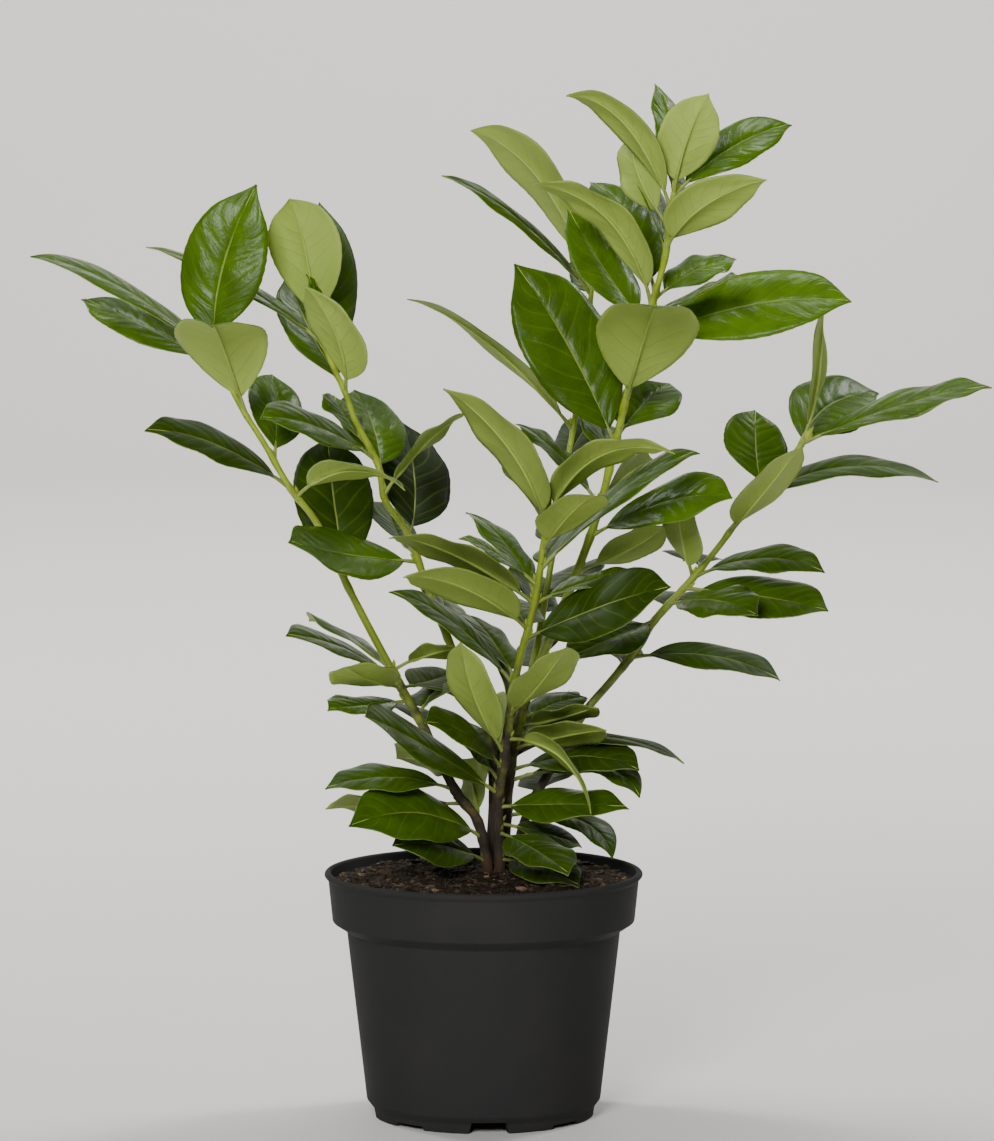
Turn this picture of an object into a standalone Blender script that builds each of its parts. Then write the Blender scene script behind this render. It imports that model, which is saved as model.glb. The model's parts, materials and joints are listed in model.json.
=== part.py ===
"""Potted cherry laurel: a nursery pot of potting mix with five leafy shoots standing in it.

Metres, +Z up, the floor at z = 0. The origin is on the floor, under the middle of the whole plant.
Stems and leaves are placed by the pixels at which the photograph shows them, each with a depth in
millimetres behind the pot's middle plane (negative is nearer to the viewer).
"""
import math
from collections import namedtuple

import bmesh
import bpy
from mathutils import Matrix, Vector

NAME = "potted_cherry_laurel"
MM = 0.001

# Pot, from a 3 litre nursery pot 190 mm across its rim
POT_WIDTH = 0.190
POT_HEIGHT = 0.147
BAND_TOP_WIDTH = 0.1855
BAND_FOOT_WIDTH = 0.1805
WALL_TOP_WIDTH = 0.1635
WALL_FOOT_WIDTH = 0.1400
FOOT_WIDTH = 0.1335
WALL = 0.0017
LIP_HEIGHT = 0.0038
BAND_FOOT_Z = 0.1174
WALL_TOP_Z = 0.1118
WALL_FOOT_Z = 0.010
FOOT_TOP_Z = 0.0058
FLOOR_Z = 0.0055
FLOOR_THICKNESS = 0.002
LIP_EDGE = 0.0012
POT_BLACK = (0.022, 0.022, 0.022)
FOOT_RING_WIDTH = 0.0075
POT_STEPS = 36

# The foot ring: four notches, low arches between them, and a drain hole in the floor by each
NOTCH_TURN = math.radians(3.0)
NOTCH_HALF_ANGLE = math.radians(9.0)
NOTCH_HEIGHT = 0.0070
NOTCH_SPLAY = 1.25
ARCH_HEIGHT = 0.0026
HOLE_HALF_WIDTH = 0.0060
HOLE_TOP_Z = 0.0100
HOLE_IN = 0.024
HOLE_OUT = 0.0115
BELOW_FLOOR = 0.004

# Potting mix
GAP = 0.0003
SOIL_EDGE_Z = 0.1405
SOIL_MOUND = 0.0065
SOIL_LUMP = 0.0016
SOIL_EDGE_SHARE = 0.75
SOIL_RINGS = 6
SOIL_STEPS = 32
SOIL_BROWN = (0.030, 0.018, 0.010)

# The mix's lumps: each a share of SOIL_LUMP and two crossing waves, a wave being its radians per
# metre along x and y, and its shift
SOIL_WAVES = [
    (1.0, (173, 61, 0.0), (-47, 149, 1.3)),
    (0.6, (331, -120, 0.7), (90, 287, 0.0)),
]

# Stems: where they stand in the mix, how many of a route's points lie in it or near it, and
# how finely a route is divided to find the point that a leaf grows from
STEM_FOOT_Z = 0.072
STEM_BEND_Z = 0.105
STEM_POINTS_IN_MIX = 4
ROOT_STEPS = 8
LAUREL_GREEN = (0.095, 0.165, 0.025)

# Leaves: a short stalk (petiole), then a blade that is folded up along its midrib, less so
# toward its edges. ARCH is how far a blade without a stated middle bows, as a share of its length.
PETIOLE = 0.010
PETIOLE_WIDTH = 0.0026
PETIOLE_THICKNESS = 0.0022
BLADE_THICKNESS = 0.0008
BLADE_ROWS = 6
PETIOLE_SHARE = 0.25
MIDRIB_TAPER = 0.6
FOLD = 0.20
FLATTEN = 0.22
ARCH = 0.12

# The blade's outline, a sine raised to a power: how blunt its ends are, how much fuller its middle
# is, and how far its widest place lies past the middle
END_POWER = 0.74
MIDDLE_POWER = 0.6
LEAN = 0.95

# Points nearer than this are one
WELD = 0.00001

# The photograph: its size and the eye it was taken from, from the pot's axis on the floor
PHOTO_WIDTH = 994
PHOTO_HEIGHT = 1141
EYE = Vector((0.008, -3.5, 0.68))
AIM = Vector((0.008, 0.0, 0.3270))
EYE_TO_PICTURE = 5920.0
POT_PLACE = Vector((-0.0185, -0.0044, 0.0))

Leaf = namedtuple("Leaf", "base tip reach seen face mid width fold")


def seen(x, y, depth):
    """The point at this depth that the photograph shows at pixel x, y."""
    ahead = (AIM - EYE).normalized()
    right = Vector((1.0, 0.0, 0.0))
    up = right.cross(ahead)
    ray = ahead + right * ((x - PHOTO_WIDTH / 2) / EYE_TO_PICTURE)
    ray += up * ((PHOTO_HEIGHT / 2 - y) / EYE_TO_PICTURE)
    return EYE + ray * ((depth * MM - EYE.y) / ray.y)


def leaf(base, tip, reach, seen_width, face, mid=None, width=40, fold=FOLD):
    """One leaf: pixels of its base, tip and middle, how far back its tip lies, and what shows.

    reach and width are in millimetres; mid may add how far its middle lies behind a straight rib.
    """
    return Leaf(base, tip, reach, seen_width, face, mid, width, fold)


# Each shoot: its stem's points as pixel x, y and depth, from the soil up, then its leaves.
# face says which side of a leaf shows: "top" is the dark glossy one, "under" the pale one.
LEFT_STEM = [(488, 868, -9), (478, 822, -10), (455, 790, -12), (425, 730, -13), (397, 680, -15),
             (352, 595, -18), (318, 525, -21), (290, 488, -25), (265, 445, -30), (240, 405, -36),
             (219, 362, -41), (214, 345, -43)]
LEFT_LEAVES = [
    leaf((214, 348), (257, 183), 8, 82, "top", mid=(222, 270), width=50),
    leaf((217, 362), (29, 256), -8, 17, "top", mid=(120, 287), width=46),
    leaf((219, 366), (81, 296), 34, 32, "top", mid=(145, 327), width=42),
    leaf((243, 415), (212, 326), -84, 84, "under", mid=(222, 342, 10), width=53, fold=0.28),
    leaf((290, 488), (144, 429), -30, 32, "top", mid=(213, 443), width=44),
    leaf((276, 463), (272, 373), 62, 55, "top", width=36),
    leaf((297, 495), (407, 490), -50, 19, "under", mid=(350, 469), width=38),
    leaf((343, 582), (328, 435), 52, 78, "top", mid=(334, 500), width=48),
    leaf((388, 668), (310, 618), 66, 9, "top", mid=(347, 635), width=40),
    leaf((392, 682), (286, 634), -48, 14, "top", mid=(338, 646), width=40),
    leaf((395, 690), (345, 665), -72, 34, "under", mid=(367, 677), width=38),
    leaf((413, 702), (328, 708), -40, 20, "top", mid=(366, 705), width=36),
    leaf((398, 672), (462, 650), -22, 15, "under", mid=(432, 652), width=32),
    leaf((400, 690), (458, 672), 58, 34, "top", mid=(432, 680), width=34),
    leaf((456, 792), (324, 788), -22, 28, "top", mid=(388, 777), width=42),
    leaf((484, 838), (348, 826), -56, 50, "top", mid=(419, 813), width=48),
    leaf((488, 862), (392, 845), -42, 34, "top", mid=(440, 845), width=38),
    leaf((444, 768), (397, 757), 44, 22, "under", width=34),
    leaf((480, 824), (465, 758), 28, 30, "under", width=36),
    leaf((464, 804), (325, 806), 30, 14, "under", mid=(392, 804), width=40),
    leaf((424, 728), (400, 706), 80, 30, "top", width=38),
    leaf((420, 718), (447, 680), 36, 30, "top", width=36),
]

INNER_LEFT_STEM = [(489, 868, 5), (493, 800, 7), (490, 740, 8), (470, 690, 8), (455, 655, 7),
                   (440, 620, 6), (425, 580, 5), (407, 532, 3), (385, 500, 1), (378, 465, 0),
                   (355, 420, -3), (345, 392, -5), (330, 360, -7), (317, 332, -9)]
INNER_LEFT_LEAVES = [
    leaf((322, 343), (145, 246), 14, 14, "top", mid=(232, 280), width=42),
    leaf((318, 336), (290, 197), -10, 70, "under", mid=(306, 250), width=45),
    leaf((335, 368), (320, 201), 42, 56, "top", mid=(329, 276), width=44),
    leaf((345, 392), (304, 284), -44, 42, "under", mid=(339, 338), width=42),
    leaf((321, 340), (308, 273), -14, 10, "top", width=12),
    leaf((343, 388), (286, 275), 50, 48, "top", mid=(312, 333), width=42),
    leaf((368, 448), (334, 393), 34, 25, "top", mid=(346, 418), width=32),
    leaf((380, 474), (354, 389), 74, 58, "top", mid=(374, 428), width=42),
    leaf((373, 463), (260, 417), -52, 28, "top", mid=(316, 426), width=42),
    leaf((388, 495), (468, 412), -22, 9, "under", mid=(425, 442), width=34),
    leaf((408, 540), (402, 420), 66, 72, "top", mid=(415, 482), width=46),
    leaf((415, 556), (388, 500), 60, 30, "top", mid=(396, 530), width=36),
    leaf((416, 566), (290, 540), -78, 44, "top", mid=(342, 553), width=44),
    leaf((446, 636), (428, 580), 78, 38, "top", width=42),
    leaf((484, 722), (440, 676), 70, 36, "top", width=40),
    leaf((492, 776), (468, 722), 62, 34, "top", width=38),
]

FRONT_STEM = [(500, 868, -7), (498, 800, -11), (504, 760, -15), (509, 720, -18), (513, 690, -21),
              (522, 650, -25), (528, 630, -27), (535, 600, -31), (540, 570, -35), (545, 530, -39),
              (548, 507, -42)]
FRONT_LEAVES = [
    leaf((530, 602), (388, 535), -46, 28, "under", mid=(458, 555), width=44),
    leaf((527, 630), (402, 575), -62, 36, "under", mid=(468, 588), width=44),
    leaf((513, 683), (388, 590), -2, 20, "top", mid=(452, 622), width=40),
    leaf((514, 682), (466, 612), 58, 26, "top", mid=(494, 642), width=36),
    leaf((505, 754), (462, 640), -42, 38, "under", mid=(475, 694), width=34),
    leaf((512, 718), (567, 645), -68, 40, "under", mid=(541, 680), width=40),
    leaf((528, 640), (671, 586), -46, 58, "top", mid=(602, 606), width=50),
    leaf((537, 606), (655, 572), 36, 16, "top", mid=(600, 578), width=36),
    leaf((544, 527), (443, 386), -26, 38, "under", mid=(512, 450), width=46),
    leaf((547, 520), (677, 453), -46, 26, "under", mid=(598, 455), width=40),
    leaf((544, 530), (503, 455), 44, 20, "top", width=32),
    leaf((541, 570), (700, 450), -12, 16, "top", mid=(628, 487), width=42),
    leaf((546, 548), (598, 492), -62, 42, "under", width=38),
    leaf((540, 574), (578, 522), 54, 22, "top", width=32),
    leaf((510, 728), (497, 645), 46, 13, "top", width=34),
    leaf((533, 596), (466, 511), 44, 26, "top", mid=(507, 545), width=36),
    leaf((538, 586), (460, 535), -12, 9, "top", mid=(499, 556), width=28),
    leaf((508, 737), (592, 815), -40, 13, "under", mid=(562, 756), width=34),
    leaf((498, 808), (630, 806), -30, 36, "top", mid=(560, 804), width=42),
    leaf((499, 824), (583, 846), 6, 22, "top", mid=(545, 833), width=34),
    leaf((500, 832), (569, 873), -60, 40, "top", mid=(536, 850), width=38),
    leaf((500, 860), (580, 885), -42, 34, "top", mid=(540, 867), width=38),
    leaf((499, 782), (452, 736), -16, 8, "top", width=30),
    leaf((501, 768), (425, 722), -58, 24, "top", mid=(465, 732), width=34),
    leaf((498, 792), (365, 716), -86, 32, "top", mid=(416, 741), width=42),
    leaf((527, 634), (498, 592), 62, 36, "top", width=40),
]

TALL_STEM = [(504, 868, 11), (507, 800, 12), (512, 755, 13), (522, 712, 14), (533, 680, 15),
             (547, 645, 17), (562, 610, 18), (573, 582, 19), (590, 537, 19), (603, 495, 17),
             (615, 445, 13), (627, 395, 8), (640, 345, 3), (655, 295, -2), (665, 258, -5),
             (670, 225, -8), (674, 192, -10)]
BACK_STEM = [(522, 712, 14), (529, 680, 24), (538, 640, 34), (550, 570, 48), (560, 500, 58),
             (573, 430, 64), (582, 370, 67), (588, 330, 68), (592, 282, 69)]
TALL_LEAVES = [
    leaf((673, 194), (656, 82), 34, 28, "top", mid=(670, 134), width=28),
    leaf((674, 195), (709, 92), -24, 58, "under", mid=(686, 142), width=35),
    leaf((671, 212), (565, 93), -20, 28, "under", mid=(628, 125), width=38),
    leaf((674, 198), (793, 123), 22, 40, "top", mid=(732, 147), width=36),
    leaf((667, 249), (768, 178), -44, 50, "under", mid=(702, 206), width=38),
    leaf((670, 228), (640, 124), 34, 44, "under", mid=(637, 166), width=36),
    leaf((672, 206), (662, 135), 50, 20, "top", width=30),
    leaf((666, 256), (637, 163), 46, 22, "top", width=36),
    leaf((656, 294), (590, 180), 58, 56, "top", mid=(631, 221), width=44),
    leaf((652, 305), (530, 183), -34, 36, "under", mid=(609, 218), width=44),
    leaf((646, 326), (568, 207), 30, 50, "top", mid=(604, 268), width=42),
    leaf((652, 302), (737, 257), 34, 30, "top", mid=(694, 271), width=32),
    leaf((652, 315), (738, 272), -50, 8, "top", mid=(696, 294), width=28),
    leaf((644, 340), (853, 301), -16, 66, "top", mid=(755, 304), width=50),
    leaf((625, 409), (656, 306), -88, 98, "under", mid=(647, 327, 10), width=60, fold=0.14),
    leaf((614, 445), (514, 262), 22, 90, "top", mid=(569, 347), width=56),
    leaf((618, 440), (670, 382), 50, 52, "top", width=42),
    leaf((612, 474), (588, 408), 58, 38, "top", width=36),
    leaf((600, 506), (515, 423), 28, 16, "top", mid=(556, 452), width=36),
    leaf((592, 535), (733, 498), -46, 40, "top", mid=(669, 501), width=44),
    leaf((603, 500), (652, 458), 38, 22, "under", width=36),
    leaf((578, 574), (664, 525), -12, 32, "under", mid=(631, 547), width=36),
    leaf((516, 748), (573, 688), 50, 42, "top", width=42),
    leaf((521, 722), (588, 696), 26, 20, "top", width=32),
    leaf((519, 728), (598, 706), -40, 20, "under", mid=(562, 716), width=32),
    leaf((513, 752), (607, 730), -48, 27, "under", mid=(562, 735), width=38),
    leaf((517, 736), (686, 763), -4, 10, "top", mid=(613, 738), width=34),
    leaf((511, 772), (640, 770), -37, 32, "top", mid=(584, 756), width=40),
    leaf((510, 784), (641, 798), -24, 18, "top", mid=(596, 766), width=36),
    leaf((508, 815), (613, 860), -18, 22, "top", mid=(580, 820), width=30),
    leaf((512, 764), (548, 726), 70, 36, "top", width=38),
    leaf((568, 610), (590, 560), 74, 40, "top", width=40),
    leaf((638, 352), (612, 322), 88, 44, "top", width=42),
    leaf((536, 674), (556, 620), 74, 38, "top", width=40),
    leaf((513, 750), (484, 708), 84, 38, "under", width=40),
]
BACK_LEAVES = [
    leaf((592, 284), (470, 129), 16, 38, "under", mid=(540, 178), width=44),
    leaf((590, 296), (441, 174), -12, 14, "top", mid=(516, 218), width=42),
    leaf((573, 430), (406, 298), -14, 16, "under", mid=(489, 342), width=42),
    leaf((590, 306), (606, 224), 44, 44, "top", width=40),
    leaf((576, 412), (560, 330), 62, 46, "top", width=42),
    leaf((566, 466), (604, 410), 58, 40, "top", width=38),
    leaf((555, 556), (576, 500), 56, 40, "top", width=38),
    leaf((541, 622), (524, 566), 40, 38, "top", width=40),
]

RIGHT_STEM = [(512, 868, 25), (528, 812, 27), (556, 760, 29), (585, 712, 31), (612, 680, 32),
              (640, 645, 32), (655, 620, 31), (693, 578, 28), (720, 545, 25), (735, 525, 24),
              (770, 485, 21), (790, 460, 19), (804, 441, 18)]
RIGHT_LEAVES = [
    leaf((806, 440), (821, 300), 8, 12, "under", mid=(818, 370), width=38),
    leaf((798, 450), (880, 393), 66, 70, "top", mid=(828, 406), width=46),
    leaf((803, 443), (993, 385), -16, 27, "top", mid=(906, 403), width=42),
    leaf((757, 492), (756, 408), 36, 62, "top", mid=(756, 449), width=42),
    leaf((728, 533), (803, 443), -48, 34, "under", mid=(764, 490), width=40),
    leaf((755, 503), (940, 482), 18, 18, "top", mid=(840, 467), width=40),
    leaf((788, 464), (765, 500), 40, 15, "top", width=26),
    leaf((694, 577), (678, 494), -14, 34, "under", mid=(684, 540), width=38),
    leaf((696, 577), (826, 572), -30, 22, "top", mid=(762, 558), width=38),
    leaf((686, 587), (829, 610), -44, 46, "top", mid=(765, 597), width=42),
    leaf((668, 606), (758, 615), -70, 30, "top", mid=(714, 600), width=38),
    leaf((654, 622), (563, 659), -46, 38, "top", mid=(614, 637), width=42),
    leaf((633, 656), (782, 680), -22, 29, "top", mid=(714, 656), width=40),
    leaf((622, 668), (600, 644), 82, 32, "top", width=38),
    leaf((700, 571), (684, 558), 84, 28, "top", width=36),
    leaf((664, 610), (690, 596), 84, 34, "top", width=40),
    leaf((534, 798), (562, 768), 60, 34, "top", width=38),
]

SHOOTS = [
    ("left_shoot", [(LEFT_STEM, 3.3, 1.5)], [LEFT_LEAVES]),
    ("inner_left_shoot", [(INNER_LEFT_STEM, 3.2, 1.5)], [INNER_LEFT_LEAVES]),
    ("front_shoot", [(FRONT_STEM, 3.6, 1.6)], [FRONT_LEAVES]),
    ("tall_shoot", [(TALL_STEM, 3.7, 1.7), (BACK_STEM, 2.2, 1.4)], [TALL_LEAVES, BACK_LEAVES]),
    ("right_shoot", [(RIGHT_STEM, 3.4, 1.5)], [RIGHT_LEAVES]),
]


def clear_scene():
    for obj in list(bpy.data.objects):
        bpy.data.objects.remove(obj, do_unlink=True)


def new_collection(name):
    collection = bpy.data.collections.new(name)
    bpy.context.scene.collection.children.link(collection)
    return collection


def material(name, colour, roughness, metallic=0.0):
    made = bpy.data.materials.new(name)
    made.use_nodes = True
    shader = made.node_tree.nodes["Principled BSDF"]
    shader.inputs["Base Color"].default_value = (*colour, 1.0)
    shader.inputs["Roughness"].default_value = roughness
    shader.inputs["Metallic"].default_value = metallic
    return made


def new_object(name, mesh, collection):
    obj = bpy.data.objects.new(name, mesh)
    collection.objects.link(obj)
    return obj


def smooth(mesh, angle=40.0):
    mesh.shade_smooth()
    mesh.set_sharp_from_angle(angle=math.radians(angle))


def apply_modifiers(obj):
    """Put the evaluated shape in the object's mesh, and drop its modifiers."""
    graph = bpy.context.evaluated_depsgraph_get()
    mesh = bpy.data.meshes.new_from_object(obj.evaluated_get(graph))
    obj.modifiers.clear()
    obj.data = mesh


def boolean(obj, operation, collection):
    """Join the collection's objects to obj, or cut them from it, and remove them."""
    change = obj.modifiers.new(operation.lower(), "BOOLEAN")
    change.operation = operation
    change.operand_type = "COLLECTION"
    change.collection = collection
    apply_modifiers(obj)
    for other in list(collection.objects):
        bpy.data.objects.remove(other, do_unlink=True)


def bezier(start, control, end, t):
    return start * (1 - t) ** 2 + control * (2 * t * (1 - t)) + end * t ** 2


def through(points, steps):
    """Points of a smooth curve through the given ones (Catmull-Rom), with steps to each span."""
    padded = [points[0] * 2 - points[1], *points, points[-1] * 2 - points[-2]]
    smoothed = []
    for a, b, c, d in zip(padded, padded[1:], padded[2:], padded[3:]):
        for step in range(steps):
            t = step / steps
            smoothed.append(0.5 * (2 * b + (c - a) * t + (2 * a - 5 * b + 4 * c - d) * t ** 2
                                   + (3 * b - a - 3 * c + d) * t ** 3))
    return smoothed + [points[-1]]


def stem_line(pixels, steps=1):
    """The stem's centre line above the soil, from the pixels and depths it is seen at."""
    return through([seen(*pixel) for pixel in pixels], steps)


def stem_route(pixels):
    """The centre line with its straight length down in the soil."""
    line = stem_line(pixels)
    first = line[0]
    return [Vector((first.x, first.y, STEM_FOOT_Z)), Vector((first.x, first.y, STEM_BEND_Z)), *line]


def tube(name, route, radii, collection):
    """A round tapered rod along the route, as a mesh with welded caps."""
    curve = bpy.data.curves.new(name, "CURVE")
    curve.dimensions = "3D"
    curve.bevel_depth = 1.0
    curve.bevel_resolution = 1
    curve.use_fill_caps = True
    spline = curve.splines.new("POLY")
    spline.points.add(len(route) - 1)
    for point, place, radius in zip(spline.points, route, radii):
        point.co = (*place, 1.0)
        point.radius = radius
    rod = new_object(name, curve, collection)
    bpy.context.view_layer.update()
    graph = bpy.context.evaluated_depsgraph_get()
    mesh = bpy.data.meshes.new_from_object(rod.evaluated_get(graph))
    bpy.data.objects.remove(rod, do_unlink=True)
    shape = bmesh.new()
    shape.from_mesh(mesh)
    bmesh.ops.remove_doubles(shape, verts=shape.verts, dist=WELD)
    shape.to_mesh(mesh)
    shape.free()
    return new_object(name, mesh, collection)


def stem_radii(route, foot_radius, tip_radius):
    """Radii that taper evenly with the length, in metres."""
    lengths = [0.0]
    for a, b in zip(route, route[1:]):
        lengths.append(lengths[-1] + (b - a).length)
    return [(foot_radius + (tip_radius - foot_radius) * length / lengths[-1]) * MM
            for length in lengths]


def picture_distance(point, pixel):
    """How far the point is from the sight line through the pixel."""
    ray = (seen(*pixel, 0) - EYE).normalized()
    away = point - EYE
    return (away - ray * away.dot(ray)).length


def root_on(stem_points, pixel):
    """The point of the stems' centre lines that the photograph shows nearest to the pixel."""
    return min(stem_points, key=lambda point: picture_distance(point, pixel))


def outline(along):
    """The blade's half width at a share of its length, as a share of its greatest half width."""
    power = END_POWER - MIDDLE_POWER * along * (1 - along)
    return max(math.sin(math.pi * along ** LEAN), 0.0) ** power


def leaf_frame(spec, root):
    """The midrib's three control points, the blade's upper side and its real width."""
    depth = root.y / MM + spec.reach
    end = seen(*spec.tip, depth)
    middle = (root + end) / 2
    if spec.mid:
        behind = spec.mid[2] if len(spec.mid) == 3 else 0.0
        middle = seen(*spec.mid[:2], middle.y / MM + behind)
    chord = (end - root).normalized()
    to_eye = (EYE - middle).normalized()
    facing = (to_eye - chord * to_eye.dot(chord)).normalized()
    across = chord.cross(facing)
    width = spec.width * MM
    near = (middle - EYE).length / EYE_TO_PICTURE
    share = min(spec.seen * near / width, 1.0)
    turn = math.acos(share if spec.face == "top" else -share)
    sides = [facing * math.cos(turn) + across * math.sin(turn) * sign for sign in (1, -1)]
    upper = max(sides, key=lambda side: side.z)
    rise = 0.0 if spec.mid else ARCH * (end - root).length
    control = middle * 2 - (root + end) / 2 + upper * rise
    return root, control, end, upper, width, spec.fold


def blade_point(frame, along, side):
    """A point of the leaf: along from 0 at the root to 1 at the tip, side from -1 to 1."""
    root, control, end, upper, width, fold = frame
    length = (end - root).length
    petiole = min(PETIOLE / length, PETIOLE_SHARE)
    place = bezier(root, control, end, along)
    ahead = ((control - root) * (1 - along) + (end - control) * along).normalized()
    normal = (upper - ahead * upper.dot(ahead)).normalized()
    across = ahead.cross(normal)
    share = max((along - petiole) / (1 - petiole), 0.0)
    half = max(width / 2 * outline(share), PETIOLE_WIDTH / 2 * (1 - MIDRIB_TAPER * share))
    spread = half * abs(side)
    lift = spread * (fold - FLATTEN * spread / (width / 2))
    if share == 0.0:
        lift = 0.0
    return place + across * half * side + normal * lift


def leaf_object(name, spec, stem_points, collection):
    """A closed leaf: a grid shaped by the blade's formula, split into triangles and thickened."""
    root = root_on(stem_points, spec.base)
    frame = leaf_frame(spec, root)
    length = (frame[2] - root).length
    petiole = min(PETIOLE / length, PETIOLE_SHARE)
    shape = bmesh.new()
    bmesh.ops.create_grid(shape, x_segments=2, y_segments=BLADE_ROWS + 1, size=1.0)
    petiole_points = []
    for vert in shape.verts:
        side = vert.co.x
        row = round((vert.co.y + 1) / 2 * (BLADE_ROWS + 1))
        along = 0.0 if row == 0 else petiole + (1 - petiole) * (row - 1) / BLADE_ROWS
        if row < 2:
            petiole_points.append(vert.index)
        vert.co = blade_point(frame, along, side)
    bmesh.ops.triangulate(shape, faces=shape.faces, quad_method="FIXED")
    mesh = bpy.data.meshes.new(name)
    shape.to_mesh(mesh)
    shape.free()
    obj = new_object(name, mesh, collection)
    thick = obj.vertex_groups.new(name="petiole")
    thick.add(petiole_points, 1.0, "REPLACE")
    solidify = obj.modifiers.new("thickness", "SOLIDIFY")
    solidify.thickness = PETIOLE_THICKNESS
    solidify.offset = 0.0
    solidify.vertex_group = thick.name
    solidify.thickness_vertex_group = BLADE_THICKNESS / PETIOLE_THICKNESS
    apply_modifiers(obj)
    return obj


def shoot(name, stems, leaf_lists, parts, pieces):
    """One leafy shoot: its stems and leaves joined into one body."""
    rods = []
    for number, (pixels, foot_radius, tip_radius) in enumerate(stems):
        route = stem_route(pixels) if number == 0 else stem_line(pixels)
        radii = stem_radii(route, foot_radius, tip_radius)
        rods.append(tube(f"{name}_stem_{number}", route, radii, pieces))
    for number, (leaves, (pixels, _, _)) in enumerate(zip(leaf_lists, stems)):
        points = stem_line(pixels, steps=ROOT_STEPS)
        for count, spec in enumerate(leaves):
            leaf_object(f"{name}_leaf_{number}_{count}", spec, points, pieces)
    trunk = rods[0]
    pieces.objects.unlink(trunk)
    parts.objects.link(trunk)
    boolean(trunk, "UNION", pieces)
    trunk.name = name
    trunk.data.name = name
    trunk.data.materials.clear()
    trunk.data.materials.append(material(name, LAUREL_GREEN, 0.35))
    smooth(trunk.data)
    return trunk


def turned(name, profile, steps, collection):
    """A solid of revolution from radius and height pairs that run down its outer side."""
    mesh = bpy.data.meshes.new(name)
    shape = bmesh.new()
    verts = [shape.verts.new((radius, 0.0, height)) for radius, height in profile]
    for a, b in zip(verts, verts[1:]):
        shape.edges.new((a, b))
    shape.to_mesh(mesh)
    shape.free()
    obj = new_object(name, mesh, collection)
    screw = obj.modifiers.new("turn", "SCREW")
    screw.steps = steps
    screw.render_steps = steps
    screw.use_merge_vertices = True
    screw.merge_threshold = WELD
    return obj


def pot_profile():
    """Inside up from the middle of the floor, over the lip, and down the outside to the foot."""
    rim = POT_WIDTH / 2
    inside_foot = WALL_FOOT_WIDTH / 2 - WALL
    inside_top = WALL_TOP_WIDTH / 2 - WALL
    band = BAND_FOOT_WIDTH / 2 - WALL
    mouth = BAND_TOP_WIDTH / 2 - WALL
    foot = FOOT_WIDTH / 2
    floor_top = FLOOR_Z + FLOOR_THICKNESS
    return [
        (0.0, floor_top),
        (inside_foot - 2 * FLOOR_THICKNESS, floor_top),
        (inside_foot, WALL_FOOT_Z + FLOOR_THICKNESS),
        (inside_top, WALL_TOP_Z + WALL / 2),
        (band, BAND_FOOT_Z + WALL),
        (mouth, POT_HEIGHT - WALL / 2),
        (mouth + WALL / 2, POT_HEIGHT),
        (rim - LIP_EDGE, POT_HEIGHT),
        (rim, POT_HEIGHT - LIP_EDGE),
        (rim, POT_HEIGHT - LIP_HEIGHT + LIP_EDGE),
        (BAND_TOP_WIDTH / 2, POT_HEIGHT - LIP_HEIGHT - LIP_EDGE),
        (BAND_FOOT_WIDTH / 2, BAND_FOOT_Z),
        (WALL_TOP_WIDTH / 2, WALL_TOP_Z),
        (WALL_FOOT_WIDTH / 2, WALL_FOOT_Z),
        (foot, FOOT_TOP_Z),
        (foot - WALL / 2, 0.0),
        (foot - FOOT_RING_WIDTH, 0.0),
        (foot - FOOT_RING_WIDTH - FLOOR_THICKNESS, FLOOR_Z),
        (0.0, FLOOR_Z),
    ]


def ring_cutter(name, turn, radii, top_half_widths, foot_splay, top_z, collection):
    """A cutter across the foot ring, from below the floor to top_z, at this turn from the front.

    It runs from the first radius to the second and is as wide as the two half widths there, and
    foot_splay times as wide at its foot.
    """
    shape = bmesh.new()
    bmesh.ops.create_cube(shape, size=1.0)
    for vert in shape.verts:
        end = 0 if vert.co.y > 0 else 1
        splay = 1.0 if vert.co.z > 0 else foot_splay
        vert.co.x = math.copysign(top_half_widths[end] * splay, vert.co.x)
        vert.co.y = -radii[end]
        vert.co.z = top_z if vert.co.z > 0 else -BELOW_FLOOR
    mesh = bpy.data.meshes.new(name)
    shape.to_mesh(mesh)
    shape.free()
    obj = new_object(name, mesh, collection)
    obj.data.transform(Matrix.Rotation(turn, 4, "Z"))
    obj.hide_render = True
    obj.display_type = "WIRE"
    return obj


def pot(parts, cutters):
    body = turned("pot", pot_profile(), POT_STEPS, parts)
    foot = FOOT_WIDTH / 2
    radii = (foot - 2 * FOOT_RING_WIDTH, foot + BELOW_FLOOR)
    widths = [math.tan(NOTCH_HALF_ANGLE) * radius for radius in radii]
    hole_radii = (foot - HOLE_IN, foot - HOLE_OUT)
    hole_widths = (HOLE_HALF_WIDTH, HOLE_HALF_WIDTH)
    for quarter in range(4):
        turn = NOTCH_TURN + quarter * math.pi / 2
        ring_cutter(f"notch_{quarter}", turn, radii, widths, NOTCH_SPLAY, NOTCH_HEIGHT, cutters)
        ring_cutter(f"hole_{quarter}", turn, hole_radii, hole_widths, 1.0, HOLE_TOP_Z, cutters)
        between = turn + math.pi / 4
        ring_cutter(f"arch_{quarter}", between, radii, widths, NOTCH_SPLAY, ARCH_HEIGHT, cutters)
    boolean(body, "DIFFERENCE", cutters)
    body.data.materials.append(material("pot", POT_BLACK, 0.55))
    smooth(body.data)
    return body


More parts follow.
